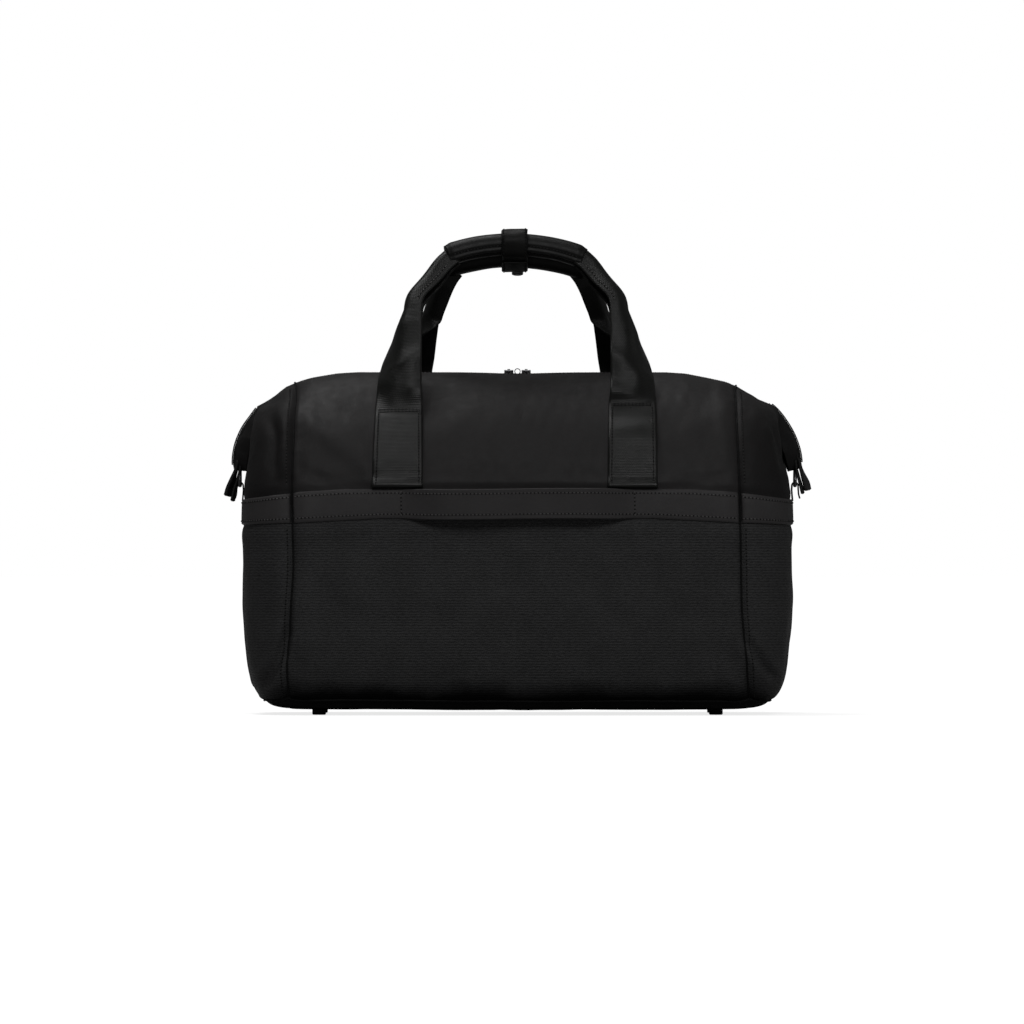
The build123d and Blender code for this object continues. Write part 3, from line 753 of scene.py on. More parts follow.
# ================================================================ how the cloth departs from it
# line of (x, z) as seen from the back, depth (negative stands out), width
CREASES = [
    ([(-198.795, 84.605), (-201.405, 68.945), (-208.365, 47.195), (-219.675, 26.663),
      (-230.985, 18.485)], 3.9, 3.6),
    ([(-189.225, 52.415), (-190.095, 37.625), (-197.925, 15.005)], 2.2, 6.0),
    ([(199.665, 68.945), (204.015, 58.505), (212.715, 44.585), (219.675, 35.885),
      (225.765, 30.665)], 3.6, 3.4),
    ([(185.745, 55.025), (193.575, 37.625), (201.405, 15.875)], 2.4, 6.0),
    ([(-213.585, 262.085), (-210.105, 242.945), (-210.975, 204.665)], 2.6, 4.5),
    ([(-201.405, 276.005), (-203.145, 239.465), (-201.405, 201.185)], -2.8, 7.0),
    ([(223.155, 256.865), (229.245, 235.115), (236.205, 213.365)], 3.6, 5.0),
    ([(208.365, 277.745), (212.715, 239.465), (217.935, 201.185)], -1.4, 8.0),
    ([(-189.225, 213.365), (-163.125, 202.055), (-126.585, 199.445)], 1.2, 5.0),
    ([(189.225, 213.365), (158.775, 201.185), (125.715, 199.445)], 1.0, 5.0),
]
BACK_CREASES = [  # these are not repeated on the front
    ([(-190.965, 135.065), (-163.125, 100.265), (-150.075, 56.765)], 0.9, 14.0),
    ([(195.315, 152.465), (171.825, 100.265), (158.775, 48.065)], 0.9, 14.0),
    ([(-15.225, 152.465), (2.175, 100.265), (-6.525, 48.065)], 0.8, 22.0),
]
SHOULDERS = [  # upper seam corner, end towards the handle, strength of the break
    ((-194.445, 271.655), (-127.455, 222.065), 0.27),
    ((190.965, 277.745), (127.455, 239.465), 0.05),
]
END_LEANS = [(-1, 268.0, 3.4), (1, 271.0, 1.6)]  # side, height of the lean line, bulge
slow_waves = Waves(3, 120, stretch=(1.2, 1, 0.8))
mid_waves = Waves(11, 52)
fine_waves = Waves(23, 22, stretch=(0.7, 1, 1.3))


def distance_to_line(x, z, line):
    """Distance to a polyline in the (x, z) plane, and the share of its length passed."""
    best, along = np.full(x.shape, 1e9), np.zeros(x.shape)
    run = arc_length(line)
    for start, end, passed, total in zip(line, line[1:], run, run[1:]):
        length = total - passed
        dx, dz = (end - start) / length
        t = np.clip((x - start[0]) * dx + (z - start[1]) * dz, 0, length)
        distance = np.hypot(x - start[0] - t * dx, z - start[1] - t * dz)
        nearer = distance < best
        best = np.where(nearer, distance, best)
        along = np.where(nearer, (passed + t) / run[-1], along)
    return best, along


def crease_relief(x, z, creases):
    relief = np.zeros(x.shape)
    for line, depth, width in creases:
        r, along = distance_to_line(x, z, np.array(line))
        taper = np.minimum(rise(along, -0.02, 0.22), rise(1 - along, -0.02, 0.22))
        relief = relief - depth * bell(r, width) * (0.25 + 0.75 * taper)
        relief = relief + 0.35 * depth * bell(r - 2.0 * width, width) * taper
    return relief


def shoulder_relief(x, z):
    """The shoulder breaks along a diagonal and falls away above it."""
    relief = np.zeros(x.shape)
    for start, end, strength in SHOULDERS:
        length = math.dist(start, end)
        dx, dz = (end[0] - start[0]) / length, (end[1] - start[1]) / length
        upward = math.copysign(1, dx)
        above = ((z - start[1]) * dx - (x - start[0]) * dz) * upward
        along = ((x - start[0]) * dx + (z - start[1]) * dz) / length
        keep = rise(along, -0.15, 0.15) * fade(along, 0.9, 1.55) * fade(z, 262, 297)
        fall = strength * 15 * np.tanh(np.maximum(above + 1, 0) / 15)
        relief = relief + (7.0 * strength * bell(above + 7, 8) - fall) * keep
    return relief


def end_lean_relief(x, y, z):
    """The ends lean in above a line running out from the seam to the zip's end."""
    depth = np.abs(y)
    relief = 0
    for side, line_z, bulge in END_LEANS:
        above = z - line_z + 0.10 * (np.abs(x) - 215)
        lean = rise(x * side, 197, 207) * fade(depth, 60, 76) * rise(depth, 8, 20)
        relief = relief - 1.6 * np.tanh(np.maximum(above, 0) / 10) * lean
        swell = rise(z, 206, 262) * fade(z, 262, 276) * rise(x * side, 200, 216)
        relief = relief + bulge * swell * fade(depth, 66, 84) * rise(depth, 8, 20)
    return relief


def band_edges(x):
    """Height of the waist band's lower and upper edge."""
    x = np.abs(x)
    upper = np.interp(x, [0, 150, 189, 237, 245], [196.8, 196.6, 194.4, 188.2, 187.6])
    lower = np.interp(x, [0, 120, 189, 237, 245], [171.4, 171.0, 167.4, 165.6, 165.4])
    return lower, upper


def band_relief(x, z):
    """Cloth blouses over the band, is nipped at its edges and fills out below it."""
    lower, upper = band_edges(x)
    above = 1.1 * bell(z - upper - 5.5, 4.0) - 1.3 * bell(z - upper - 0.3, 1.7)
    return above + 0.9 * bell(z - lower + 9, 7) - 0.8 * bell(z - lower + 0.5, 2.2)


def seam_relief(x, y, z):
    """Pinches, soft rolls and short puckers beside the four vertical seams."""
    relief = 0
    above_base = rise(z, 7, 15)
    main = rise(np.abs(y), 6, 22) * above_base
    for table, side in ((SEAM_LEFT, -1), (SEAM_RIGHT, 1)):
        r = np.abs(x - seam_x(z, table))
        pinch = 2.3 * bell(r, 2.1) + 1.3 * bell(r, 7.5)
        relief = relief - pinch * (0.35 + 0.65 * main) * above_base
        relief = relief + 0.7 * bell(r - 13, 7) * main
        pucker = np.sin(z * 0.42 + 2.0 * np.sin(z * 0.11 + side)) * np.sin(z * 0.23 + 1.3 * side)
        relief = relief + 0.30 * pucker * bell(r, 9) * main
    return relief


def gusset_relief(x, y, z):
    """The ends hollow below the zip's end and bow out lower down."""
    hollow = 4.5 * bell(y, 26) * rise(z, 200, 235)
    bow = 2.6 * bell(y, 55) * bell(z - 95, 45)
    flutes = 2.2 * bell(np.abs(y) - 62, 14) * bell(z - 55, 40)
    return rise(np.abs(x), 214, 232) * (bow - hollow - flutes)


def displacement(points, face):
    """How far the cloth stands out from the lofted shape."""
    x, y, z = points[..., 0], points[..., 1], points[..., 2]
    on_back = rise(-y, -4, 18) if face != "front" else 0 * y
    on_front = rise(y, -4, 18)
    calm = 1 - 0.45 * rise(z, 196, 214)
    d = (0.75 * slow_waves(points) + 0.38 * mid_waves(points)) * calm
    d = (d + 0.13 * fine_waves(points)) * (0.3 + 0.7 * rise(z, 4, 22))
    # the front repeats the back's shapes, turned round
    for turn, mask, creases in ((1, on_back, CREASES + BACK_CREASES), (-1, on_front, CREASES)):
        if np.max(mask) >= 1e-3:
            d = d + crease_relief(x * turn, z, creases) * mask
        d = d + shoulder_relief(x * turn, z) * mask
    d = d + end_lean_relief(x, y, z) + band_relief(x, z)
    under_band = rise(z, 160, 170) * fade(z, 196, 204)
    d = d * (1 - 0.65 * under_band)
    d = d + seam_relief(x, y, z) - 1.2 * bell(z - 11.5, 2.2) + gusset_relief(x, y, z)
    # the mouth stays where the zip holds it
    rim = fade(np.abs(y), 10, 26) * rise(z, 240, 262)
    return d * (1 - rim) + 1.5 * rise(z, 280, 294) * (1 - 0.75 * bell(x, 30))


class Panel:
    """One face: across runs 0 to 1 counter-clockwise from above, level up the profile."""

    def __init__(self, face, rows):
        self.face, self.rows = face, rows

    def base(self, across, level):
        across, level = np.broadcast_arrays(np.asarray(across, float), np.asarray(level, float))
        column = np.clip(across, 0, 1) * (ACROSS_COUNT - 1)
        row = np.clip(level, 0, TOP) / LEVEL_RUN[1]
        i = np.minimum(row.astype(int), LEVEL_COUNT - 2)
        j = np.minimum(column.astype(int), ACROSS_COUNT - 2)
        a, b = (row - i)[..., None], (column - j)[..., None]
        rows = self.rows
        near = rows[i, j] * (1 - a) + rows[i + 1, j] * a
        far = rows[i, j + 1] * (1 - a) + rows[i + 1, j + 1] * a
        return near * (1 - b) + far * b

    @staticmethod
    def slope_normal(surface, across, level, step, climb):
        sideways = surface(np.minimum(across + step, 1), level)
        sideways = sideways - surface(np.maximum(across - step, 0), level)
        upwards = surface(across, np.minimum(level + climb, TOP))
        upwards = upwards - surface(across, np.maximum(level - climb, 0))
        return unit(np.cross(sideways, upwards))

    def base_normal(self, across, level):
        return self.slope_normal(self.base, across, level, step=0.006, climb=1.6)

    def pos(self, across, level, off=0.0):
        point = self.base(across, level)
        lift = (displacement(point, self.face) + off)[..., None]
        return point + self.base_normal(across, level) * lift

    def normal(self, across, level):
        return self.slope_normal(self.pos, across, level, step=0.005, climb=1.2)

    def across_at_x(self, x, level):
        """Where the back or front panel passes x."""
        zero = 0.0 * np.asarray(level, float)
        start, end = self.base(zero, level)[..., 0], self.base(zero + 1, level)[..., 0]
        return (np.asarray(x, float) - start) / (end - start)


PANELS = {face: Panel(face, rows) for face, rows in zip(FACES, LOFT)}


def around(count, surface):
    """A ring of points (or normals) over all four panels, without repeated corners."""
    across = np.linspace(0, 1, count)[:-1]
    return np.concatenate([surface(PANELS[face], across) for face in FACES])


# ================================================================ body cloth


def edge_rows(start, end, step, fine=1.0, margin=9.0):
    """Values from start to end, closer together near both ends."""
    values = list(np.linspace(0, 1, max(4, int((end - start) / step))) * (end - start) + start)
    for k in np.arange(fine, margin, fine * 1.6):
        values += [start + k, end - k]
    values = sorted(v for v in values if start <= v <= end)
    keep = [values[0]]
    for v in values[1:]:
        if v - keep[-1] > 0.55 * fine:
            keep.append(v)
    keep[-1] = end
    return np.array(keep)


def panel_piece(face, part, start, end, mat):
    panel = PANELS[face]
    node = f"{face}_{part}_{'panel' if face in ('back', 'front') else 'gusset'}"
    levels = edge_rows(start, end, step=2.6)
    length = float(arc_length(panel.rows[200])[-1])
    across = edge_rows(0, length, step=2.6) / length
    across, levels = np.meshgrid(across, levels, indexing="ij")
    uv = np.stack([across * length, levels], -1)
    obj = sheet("cloth_" + node, panel.pos(across, levels), 2.4, mat, uv=uv)
    done(obj, "bag", part + "_cloth", node)


for face in ("back", "front", "left", "right"):
    # the end gussets take the darker copy of the upper satin, painted shade
    upper = "upper_end" if face in ("left", "right") else "upper"
    panel_piece(face, "lower", BOTTOM_SEAM, WAIST, MATS["lower"])
    panel_piece(face, "upper", WAIST, TOP, MATS[upper])


def bottom():
    """A crowned sheet that meets the lower panels at the bottom seam."""
    rows = [
        around(60, lambda panel, across: panel.pos(across, BOTTOM_SEAM * part))
        for part in np.linspace(1.0, 0.0, 22)
    ]
    rim = rows[-1]
    for part in np.linspace(0.93, 0.02, 14):
        row = rim * np.array([part, part, 1.0])
        crown = 1.1 * math.sin(min(1, (1 - part) * 1.6) * math.pi / 2)
        row[:, 2] = rim[:, 2] - crown + 0.25 * mid_waves(row)
        rows.append(row)
    outer = np.stack(rows)
    inner = outer * np.array([0.992, 0.985, 1.0]) + 2.2 * Z_AXIS
    verts, faces = double_shell(outer, inner, open_last=False)
    obj = link("cloth_bottom_panel", verts, faces, verts[:, :2], MATS["base"])
    done(obj, "bag", "base_cloth", "bottom_panel")


def lining():
    """The body's shape again, hanging 6 mm inside, with a floor."""
    rows = []
    for level in np.linspace(8, TOP - 14, 46):
        row = around(40, lambda panel, across: panel.base(across, level)
                     - panel.base_normal(across, level) * 6.0)
        sway = [mid_waves(row), mid_waves(row[:, [1, 2, 0]]), 0 * row[:, 0]]
        rows.append(row + 0.5 * np.stack(sway, 1))
    floor_rows = []
    for part in (0.05, 0.5, 0.92):
        row = rows[0] * np.array([part, part, 1.0])
        row[:, 2] = np.maximum(rows[0][:, 2], 14.0)
        floor_rows.append(row)
    outer = np.stack(floor_rows + rows)
    inner = outer - unit(outer * np.array([1, 1, 0])) * 0.7
    inner[:4, :, 2] += 0.7
    verts, faces = double_shell(outer, inner, open_last=True)
    uv = verts[:, [0, 2]] + verts[:, [1, 1]]
    done(link("cloth_lining", verts, faces, uv, MATS["lining"]), "bag", "lining", "lining")


def seam_piping(sides=10):
    """Piping up the four vertical seams."""
    piping = Bag()
    levels = np.linspace(BOTTOM_SEAM - 1.5, TOP - 1.0, 170)
    uv = mesh_uv(levels, np.arange(sides) * 0.7).reshape(-1, 2)
    for face in ("back", "front"):
        for across in (0.0, 1.0):
            panel, edge = PANELS[face], np.full(levels.shape, across)
            path = panel.pos(edge, levels, 0.55)
            normals = panel.base_normal(edge, levels)
            along = tangents(path)
            side = unit(np.cross(along, normals))
            angle = np.arange(sides) / sides * 2 * math.pi
            ring = np.cos(angle)[None, :, None] * side[:, None]
            ring = ring + 0.85 * np.sin(angle)[None, :, None] * normals[:, None]
            rings = path[:, None] + 0.78 * ring
            piping.add(rings.reshape(-1, 3), tube_faces(len(levels), sides), uv)
    done(piping.make("cloth_seam_piping", MATS["binding"]), "bag", "piping", "seam_piping")


def bottom_binding():
    path = around(90, lambda panel, across: panel.pos(across, BOTTOM_SEAM, 0.3))
    normals = around(90, lambda panel, across: panel.base_normal(across, BOTTOM_SEAM))
    obj = tube("cloth_bottom_binding", path, normals, 1.0, MATS["binding"], 8, closed=True)
    done(obj, "bag", "piping")


bottom()
lining()
seam_piping()
bottom_binding()

# ================================================================ waist band
BAND_OFF = 1.9  # how far its outer face stands off the body
BAND_HEIGHT = 25.5
BAND_THICK = 1.5
STITCH_INSET = 0.145  # as a share of the band's height
SLEEVE_HALF = 101.0  # half the length of the free sleeve
SLEEVE_Y = -115.9
body_stitches = Stitches()


def band_level(face, across, part):
    """Level at a share of the band's height."""
    lower, upper = band_edges(PANELS[face].base(across, WAIST)[..., 0])
    return level_at_height(lower + (upper - lower) * part)


def sleeve(grid):
    """The middle of the back band stands free of the body, slack."""
    grid = grid.copy()
    x = grid[..., 0]
    lift = 13.2 * fade(np.abs(x), SLEEVE_HALF - 44, SLEEVE_HALF + 3)
    free = fade(np.abs(x), SLEEVE_HALF - 22, SLEEVE_HALF)
    y = grid[..., 1] * (1 - free) + SLEEVE_Y * free - lift
    grid[..., 1] = y + 0.5 * free * np.sin(x * 0.045 + 0.7)
    grid[..., 2] += free * (0.5 * np.sin(x * 0.031) - 0.25)
    return grid


def band(face, node, columns, stitch_points, free=False):
    panel = PANELS[face]
    parts = np.concatenate([[0.0, 0.02, 0.06], np.linspace(0.12, 0.88, 9), [0.94, 0.98, 1.0]])
    across, parts = np.meshgrid(np.linspace(0.004, 0.996, columns), parts, indexing="ij")
    edge = np.minimum(parts, 1 - parts)
    off = 0.9 + (BAND_OFF - 0.9) * rise(edge, 0, 0.05) - 0.22 * bell(edge - STITCH_INSET, 0.05)
    grid = panel.pos(across, band_level(face, across, parts), off)
    if free:
        grid = sleeve(grid)
    length = float(arc_length(grid[:, 7])[-1])
    uv = np.stack([(across - 0.004) / 0.992 * length, parts * BAND_HEIGHT], -1)
    obj = sheet("cloth_" + node, grid, BAND_THICK, MATS["band"], uv=uv)
    done(obj, "bag", "band_cloth", node)
    for part in (STITCH_INSET, 1 - STITCH_INSET):
        across = np.linspace(0.006, 0.994, stitch_points)
        level = band_level(face, across, part)
        line = panel.pos(across, level, BAND_OFF - 0.12)
        if free:
            line = sleeve(line)
            normals = unit(np.cross(tangents(line), Z_AXIS))
        else:
            normals = panel.normal(across, level)
        body_stitches.row("band", line, normals)


def sleeve_end_stitches():
    """Upright rows that close the sleeve."""
    panel = PANELS["back"]
    for x in (-SLEEVE_HALF, 101.8):
        across = panel.across_at_x(x, np.full(40, WAIST))
        level = band_level("back", across, np.linspace(0.05, 0.95, 40))
        line = sleeve(panel.pos(across, level, BAND_OFF)) - 0.15 * Y_AXIS
        body_stitches.row("sleeve_end", line, -Y_AXIS)


for face in ("left", "right", "front"):
    band(face, face + "_waist_band", columns=170, stitch_points=400)
band("back", "luggage_sleeve_band", columns=330, stitch_points=800, free=True)
sleeve_end_stitches()

# ================================================================ main zip along the ridge
RIDGE_HEIGHT, RIDGE_DROOP = LEVELS[-2, 0], LEVELS[-2, 4]
RIDGE_HALF = 227.5
COIL_PITCH, COIL_HALF, COIL_RADIUS = 1.6, 2.3, 0.62


def ridge_line():
    x = np.linspace(-RIDGE_HALF, RIDGE_HALF, 260)
    return resample(np.stack([x, 0 * x, RIDGE_HEIGHT - RIDGE_DROOP * droop(x)], 1), step=1.6)


RIDGE = ridge_line()
RIDGE_NORMALS = unit(np.cross(tangents(RIDGE), Y_AXIS))


def ridge_tape(face, side):
    """Tape beside the coil, narrower near the ends."""
    y = np.array([1.2, 2.6, 4.5, 7.5, 10.5, 13.0])
    sink = np.array([-3.0, -3.0, -3.0, -3.2, -3.6, -4.4])
    width = 0.55 + 0.45 * fade(np.abs(RIDGE[:, 0]), 205, 227)[:, None, None]
    grid = RIDGE[:, None] + RIDGE_NORMALS[:, None] * sink[None, :, None]
    grid = grid + Y_AXIS * (side * y[None, :, None] * width)
    obj = sheet("cloth_main_zip_tape_" + face, grid, 0.7, MATS["tape"], flip=side > 0)
    done(obj, "bag", "zip_tape", "main_zip_tape_" + face)


def coil(name, body, path, normals, across, side, height, *nodes):
    """Half of a coil zip: one loop per pitch, reaching past the middle from one side.

    The loops of the +1 side lie between those of the -1 side.
    """
    run = arc_length(path)
    phase = 0.5 if side > 0 else 0.0
    places = (np.arange(int(run[-1] / COIL_PITCH) - 1) + 0.5 + phase) * COIL_PITCH
    centres = sample(places, run, path)
    up = unit(sample(places, run, np.broadcast_to(normals, path.shape)))
    outer = centres + across * (side * COIL_HALF) + up * (height - 0.15)
    inner = centres - across * (side * 0.55) + up * (height + 0.1)
    loops = Bag()
    add_grains(loops, outer, inner, up, COIL_RADIUS, flat=0.95)
    done(loops.make(name, MATS["coil"]), body, "zip_coil", *nodes)


for face, side in (("back", -1), ("front", 1)):
    ridge_tape(face, side)
for face, side in (("back", -1), ("front", 1)):
    coil("coil_main_" + face, "bag", RIDGE[3:-3], RIDGE_NORMALS[3:-3], Y_AXIS, side, -2.6,
         "main_zip_coil_" + face)

# one row beside the zip on each face
for face in ("back", "front"):
    across, level = np.linspace(0.01, 0.99, 300), TOP - 6.0
    line = PANELS[face].pos(across, level)
    body_stitches.row("ridge", line, PANELS[face].normal(across, level))


def gusset_stitches(inset=4.6):
    """Rows on the gussets beside the vertical seams, below and above the band."""
    stitches = Stitches()
    for face in ("left", "right"):
        panel = PANELS[face]
        for edge, inward in ((0.0, 1), (1.0, -1)):
            for start, end in (
                (BOTTOM_SEAM + 3, level_at_height(164)), (level_at_height(200), TOP - 16),
            ):
                level = np.linspace(start, end, 160)
                width = np.array([
                    arc_length(panel.base(np.linspace(0, 1, 30), v))[-1] for v in level
                ])
                across = edge + inward * inset / width
                stitches.row("seam", panel.pos(across, level), panel.normal(across, level))
    return stitches


seam_stitches = gusset_stitches()

# ================================================================ handles
WEB_WIDTH = 41.0
WEB_THICK = 1.5
GRIP_RADIUS, GRIP_BEND, GRIP_HALF = 9.4, 169.0, 60.0
LEG_HEIGHT = 152.8  # hinge to grip in the tables of LEG
# inner edge x and height, outer edge x and height, in the handle's plane
LEG = {
    "back": [
        (82.0, 0, 121.8, 0), (82.6, 14, 121.2, 15), (82.8, 28, 120.2, 29),
        (82.8, 44, 116.6, 45), (82.8, 60, 111.0, 61), (82.8, 74, 104.8, 75),
        (82.8, 86, 99.6, 87), (82.3, 95, 95.9, 96.5), (80.2, 101.5, 92.2, 104.5),
        (76.2, 106.5, 88.8, 111.5), (71.2, 111.7, 84.6, 118.2), (66.0, 118.0, 79.4, 125.4),
        (61.0, 125.0, 73.6, 132.4), (55.5, 131.5, 66.8, 139.0), (49.5, 136.5, 59.8, 145.0),
    ],
    "front": [  # slumped a little narrower
        (82.0, 0, 121.8, 0), (79.4, 14, 118.4, 16), (75.6, 29, 113.0, 33),
        (72.8, 48, 105.0, 52), (70.6, 68, 96.4, 71), (68.6, 84, 87.8, 88),
        (66.8, 94, 82.6, 98), (64.8, 101.5, 78.6, 106), (62.4, 108, 75.6, 113),
        (60.2, 113.8, 73.0, 119.5), (58.2, 119.6, 70.6, 125.6), (55.8, 125.8, 67.6, 132.2),
        (52.4, 131.6, 63.6, 138.8), (48.0, 136.5, 58.0, 145.0),
    ],
}
# inner and outer edge x of the sewn part at the fold line, then at its foot
SEWN_EDGES = {-1: ((83.0, 123.2), (82.4, 126.2)), 1: ((79.8, 120.2), (78.6, 121.4))}
# distance up from the strap's foot, lift off the panel
FOOT_LIFT = (
    [0, 4.4, 5.4, 6.0, 7.2, 9.0, 11.5, 14.5, 18, 24, 30, 38, 50],
    [-1.9, -1.9, 1.0, 3.3, 3.6, 2.9, 1.6, 0.3, -0.2, 0.9, 1.5, 0.9, 0.0],
)
# the right back strap bows further up and falls back towards the band
FOOT_LIFT_BACK_RIGHT = (
    [0, 4.4, 5.4, 6.0, 7.2, 9.0, 11.5, 14.5, 18, 24, 32, 42, 50, 60, 74],
    [-1.9, -1.9, 0.6, 2.6, 2.9, 2.3, 1.0, -0.2, -0.5, 0.1, 1.2, 2.6, 3.2, 2.4, 0.0],
)
strap_stitches = Stitches()


class Handle:
    """Plane of a handle: out is the y direction of its outer side, normal points that way."""

    def __init__(self, kind, out, hinge, grip):
        self.kind, self.out = kind, out
        self.hinge = np.array([0.0, *hinge])
        climb = np.array([0.0, *grip]) - self.hinge
        self.length = float(np.linalg.norm(climb))
        self.up = climb / self.length
        self.normal = -out * np.cross(X_AXIS, self.up)
        self.scale = self.length / LEG_HEIGHT


HANDLES = (  # hinge and grip as y, z
    Handle("back", -1.0, hinge=(-77.0, 272.0), grip=(-9.2, 409.0)),
    Handle("front", 1.0, hinge=(84.3, 264.0), grip=(9.2, 399.5)),
)


def leg_edges(handle):
    """Distances along the inner edge, and smoothed rows of LEG there."""
    k = handle.scale
    table = np.array(LEG[handle.kind], float) * [1, k, 1, k]
    run = arc_length(table[:, :2])
    places = np.linspace(0, run[-1], 320)
    edges = sample(places, run, table)
    for _ in range(60):
        edges[1:-1] = 0.5 * edges[1:-1] + 0.25 * (edges[:-2] + edges[2:])
    return places, edges


def fold_section(width, spread):
    """Section of a strap bent over its middle until it is `width` wide.

    Gives places across the strap, and how far each lies outwards and away.
    """
    places = np.linspace(0, WEB_WIDTH, 240)

    def section(bend):
        middle = WEB_WIDTH / 2
        angle = bend * rise(places, middle - spread / 2, middle + spread / 2)
        outwards = np.cumsum(np.cos(angle[1:]) * np.diff(places))
        away = np.cumsum(np.sin(angle[1:]) * np.diff(places))
        return np.concatenate([[0], outwards]), np.concatenate([[0], away])

    low, high = 0.0, math.radians(182)
    for _ in range(22):
        middle = (low + high) / 2
        if section(middle)[0].max() > width:
            low = middle
        else:
            high = middle
    return places, *section((low + high) / 2)


def sewn_row(handle, side, web, v, anchor, fold_level):
    """A row of the strap on the panel, v from the fold line."""
    panel = PANELS[handle.kind]
    part = web / WEB_WIDTH
    at_fold, at_foot = np.array(SEWN_EDGES[side])
    inner, outer = at_fold + (at_foot - at_fold) * np.clip(-v / anchor, 0, 1)
    level = np.full(web.shape, np.clip(fold_level + min(v, 30), 0, TOP))
    across = panel.across_at_x(side * (inner + (outer - inner) * part), level)
    climbed = anchor + v
    back_right = handle.kind == "back" and side > 0
    lift = float(np.interp(climbed, *(FOOT_LIFT_BACK_RIGHT if back_right else FOOT_LIFT)))
    lean = 0.75 + 0.5 * part if climbed < 18 and lift > 0 else 1.0
    off = 2.4 + 0.7 * rise(v, -22, -3) + lift * lean + 0.5 * np.sin(part * math.pi)
    base = panel.base(across, level)
    off = off + 0.4 * displacement(base, panel.face)
    return base + panel.base_normal(across, level) * off[..., None]


def leg_row(handle, side, web, v, places, edges, waves):
    """A row of the free strap, folding over itself towards the grip."""
    in_x, in_z, out_x, out_z = [np.interp(v, places, column) for column in edges.T]
    width = math.hypot(out_x - in_x, out_z - in_z)
    climb = v / handle.scale
    spread = np.interp(climb, [0, 20, 45, 75, 94, 112, 150], [36, 36, 34, 34, 36, 32, 20])
    fold_places, outwards, away = fold_section(width, spread)
    outwards = np.interp(web, fold_places, outwards)
    away = np.interp(web, fold_places, away) * (1 - 0.25 * rise(climb, 128, 142))
    # distance off the handle's plane: a general bow, then rolls that cross the strap aslant
    bow = np.interp(climb, [0, 20, 45, 75, 94, 112, 130], [0, 1.0, 4.5, 8.0, 8.0, 6.6, 5.0])
    part = web / WEB_WIDTH
    roll = climb - (45 - 24 * part)
    hollow = 1.5 * bell(roll + 21, 8.5) * rise(climb, 2, 10) * (1 - 0.6 * part)
    swell = 3.4 * rise(climb, -10, 3) * fade(climb, 4, 60) + 2.3 * bell(roll, 9.5) - hollow
    swell = swell + 1.2 * bell(climb - 13 - 8 * part, 5.0) * rise(climb, 3, 9)
    ripple = 0.5 * waves(np.array([[v, 3.0 * w, 0] for w in web]))
    span = X_AXIS * side * (out_x - in_x) / width + handle.up * (out_z - in_z) / width
    origin = handle.hinge + X_AXIS * (side * in_x - 1.2) + handle.up * in_z
    off = bow - away + swell + ripple
    return origin + span * outwards[:, None] + handle.normal * off[:, None]


def strap(handle, side, name, node):
    kind, hinge, up = handle.kind, handle.hinge, handle.up
    places, edges = leg_edges(handle)
    drop = 6.0 if kind == "back" and side < 0 else 1.5
    fold_level = float(level_at_height(hinge[2] - drop))
    anchor = fold_level - float(level_at_height(192.0))
    # rows run from under the band up the panel to the fold line at 0, then up the leg
    rows_at = np.concatenate([
        np.linspace(-anchor, -anchor + 22, 34)[:-1],
        np.linspace(-anchor + 22, -2, int((anchor - 24) / 2.2)),
        np.linspace(0, places[-1], 92),
    ])
    web = np.linspace(0, WEB_WIDTH, 29)
    waves = Waves(40 + (side > 0) + 2 * (kind == "front"), 60)
    rows = []
    for v in rows_at:
        row = sewn_row(handle, side, web, v, anchor, fold_level)
        if v > 0:
            free = float(rise(v, -0.5, 7.0))
            row = row * (1 - free) + leg_row(handle, side, web, v, places, edges, waves) * free
        rows.append(row)
    grid = np.stack(rows)

    def row_after(v):
        return int(np.argmax(rows_at > v))

    # even out the join
    a, b = row_after(-10), row_after(34)
    for _ in range(10):
        grid[a:b] = 0.5 * grid[a:b] + 0.25 * (grid[a - 1 : b - 1] + grid[a + 1 : b + 1])
    uv = np.stack(np.broadcast_arrays(web[None, :], rows_at[:, None]), -1)
    flip = side * handle.out < 0
    obj = sheet(name, grid, WEB_THICK, MATS["webbing"], uv=uv, flip=flip)
    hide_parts(node)
    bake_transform(obj)

    # two rows across at the fold line, and one along each edge of the sewn part
    normals = grid_normals(grid) * (-1 if flip else 1)
    fold = row_after(-2.2)
    for k in (fold, fold - 1):
        line = resample(grid[k, 1:-1], count=60)
        strap_stitches.row("strap_fold", line, normals[fold, 14])
    start = row_after(-anchor + 8)
    for k in (2, len(web) - 3):
        strap_stitches.row("strap_edge", grid[start:fold, k], normals[start:fold, k])
    # stitches on the folded part ride with the handle; a short leg ends before 140
    start = row_after(96 * handle.scale)
    end = row_after(140 * handle.scale) or len(rows_at) - 4
    folded = Stitches()
    folded.row("leg", grid[start:end, 3], normals[start:end, 3])
    folded.make(name + "_stitches", kind + "_handle", "webbing")


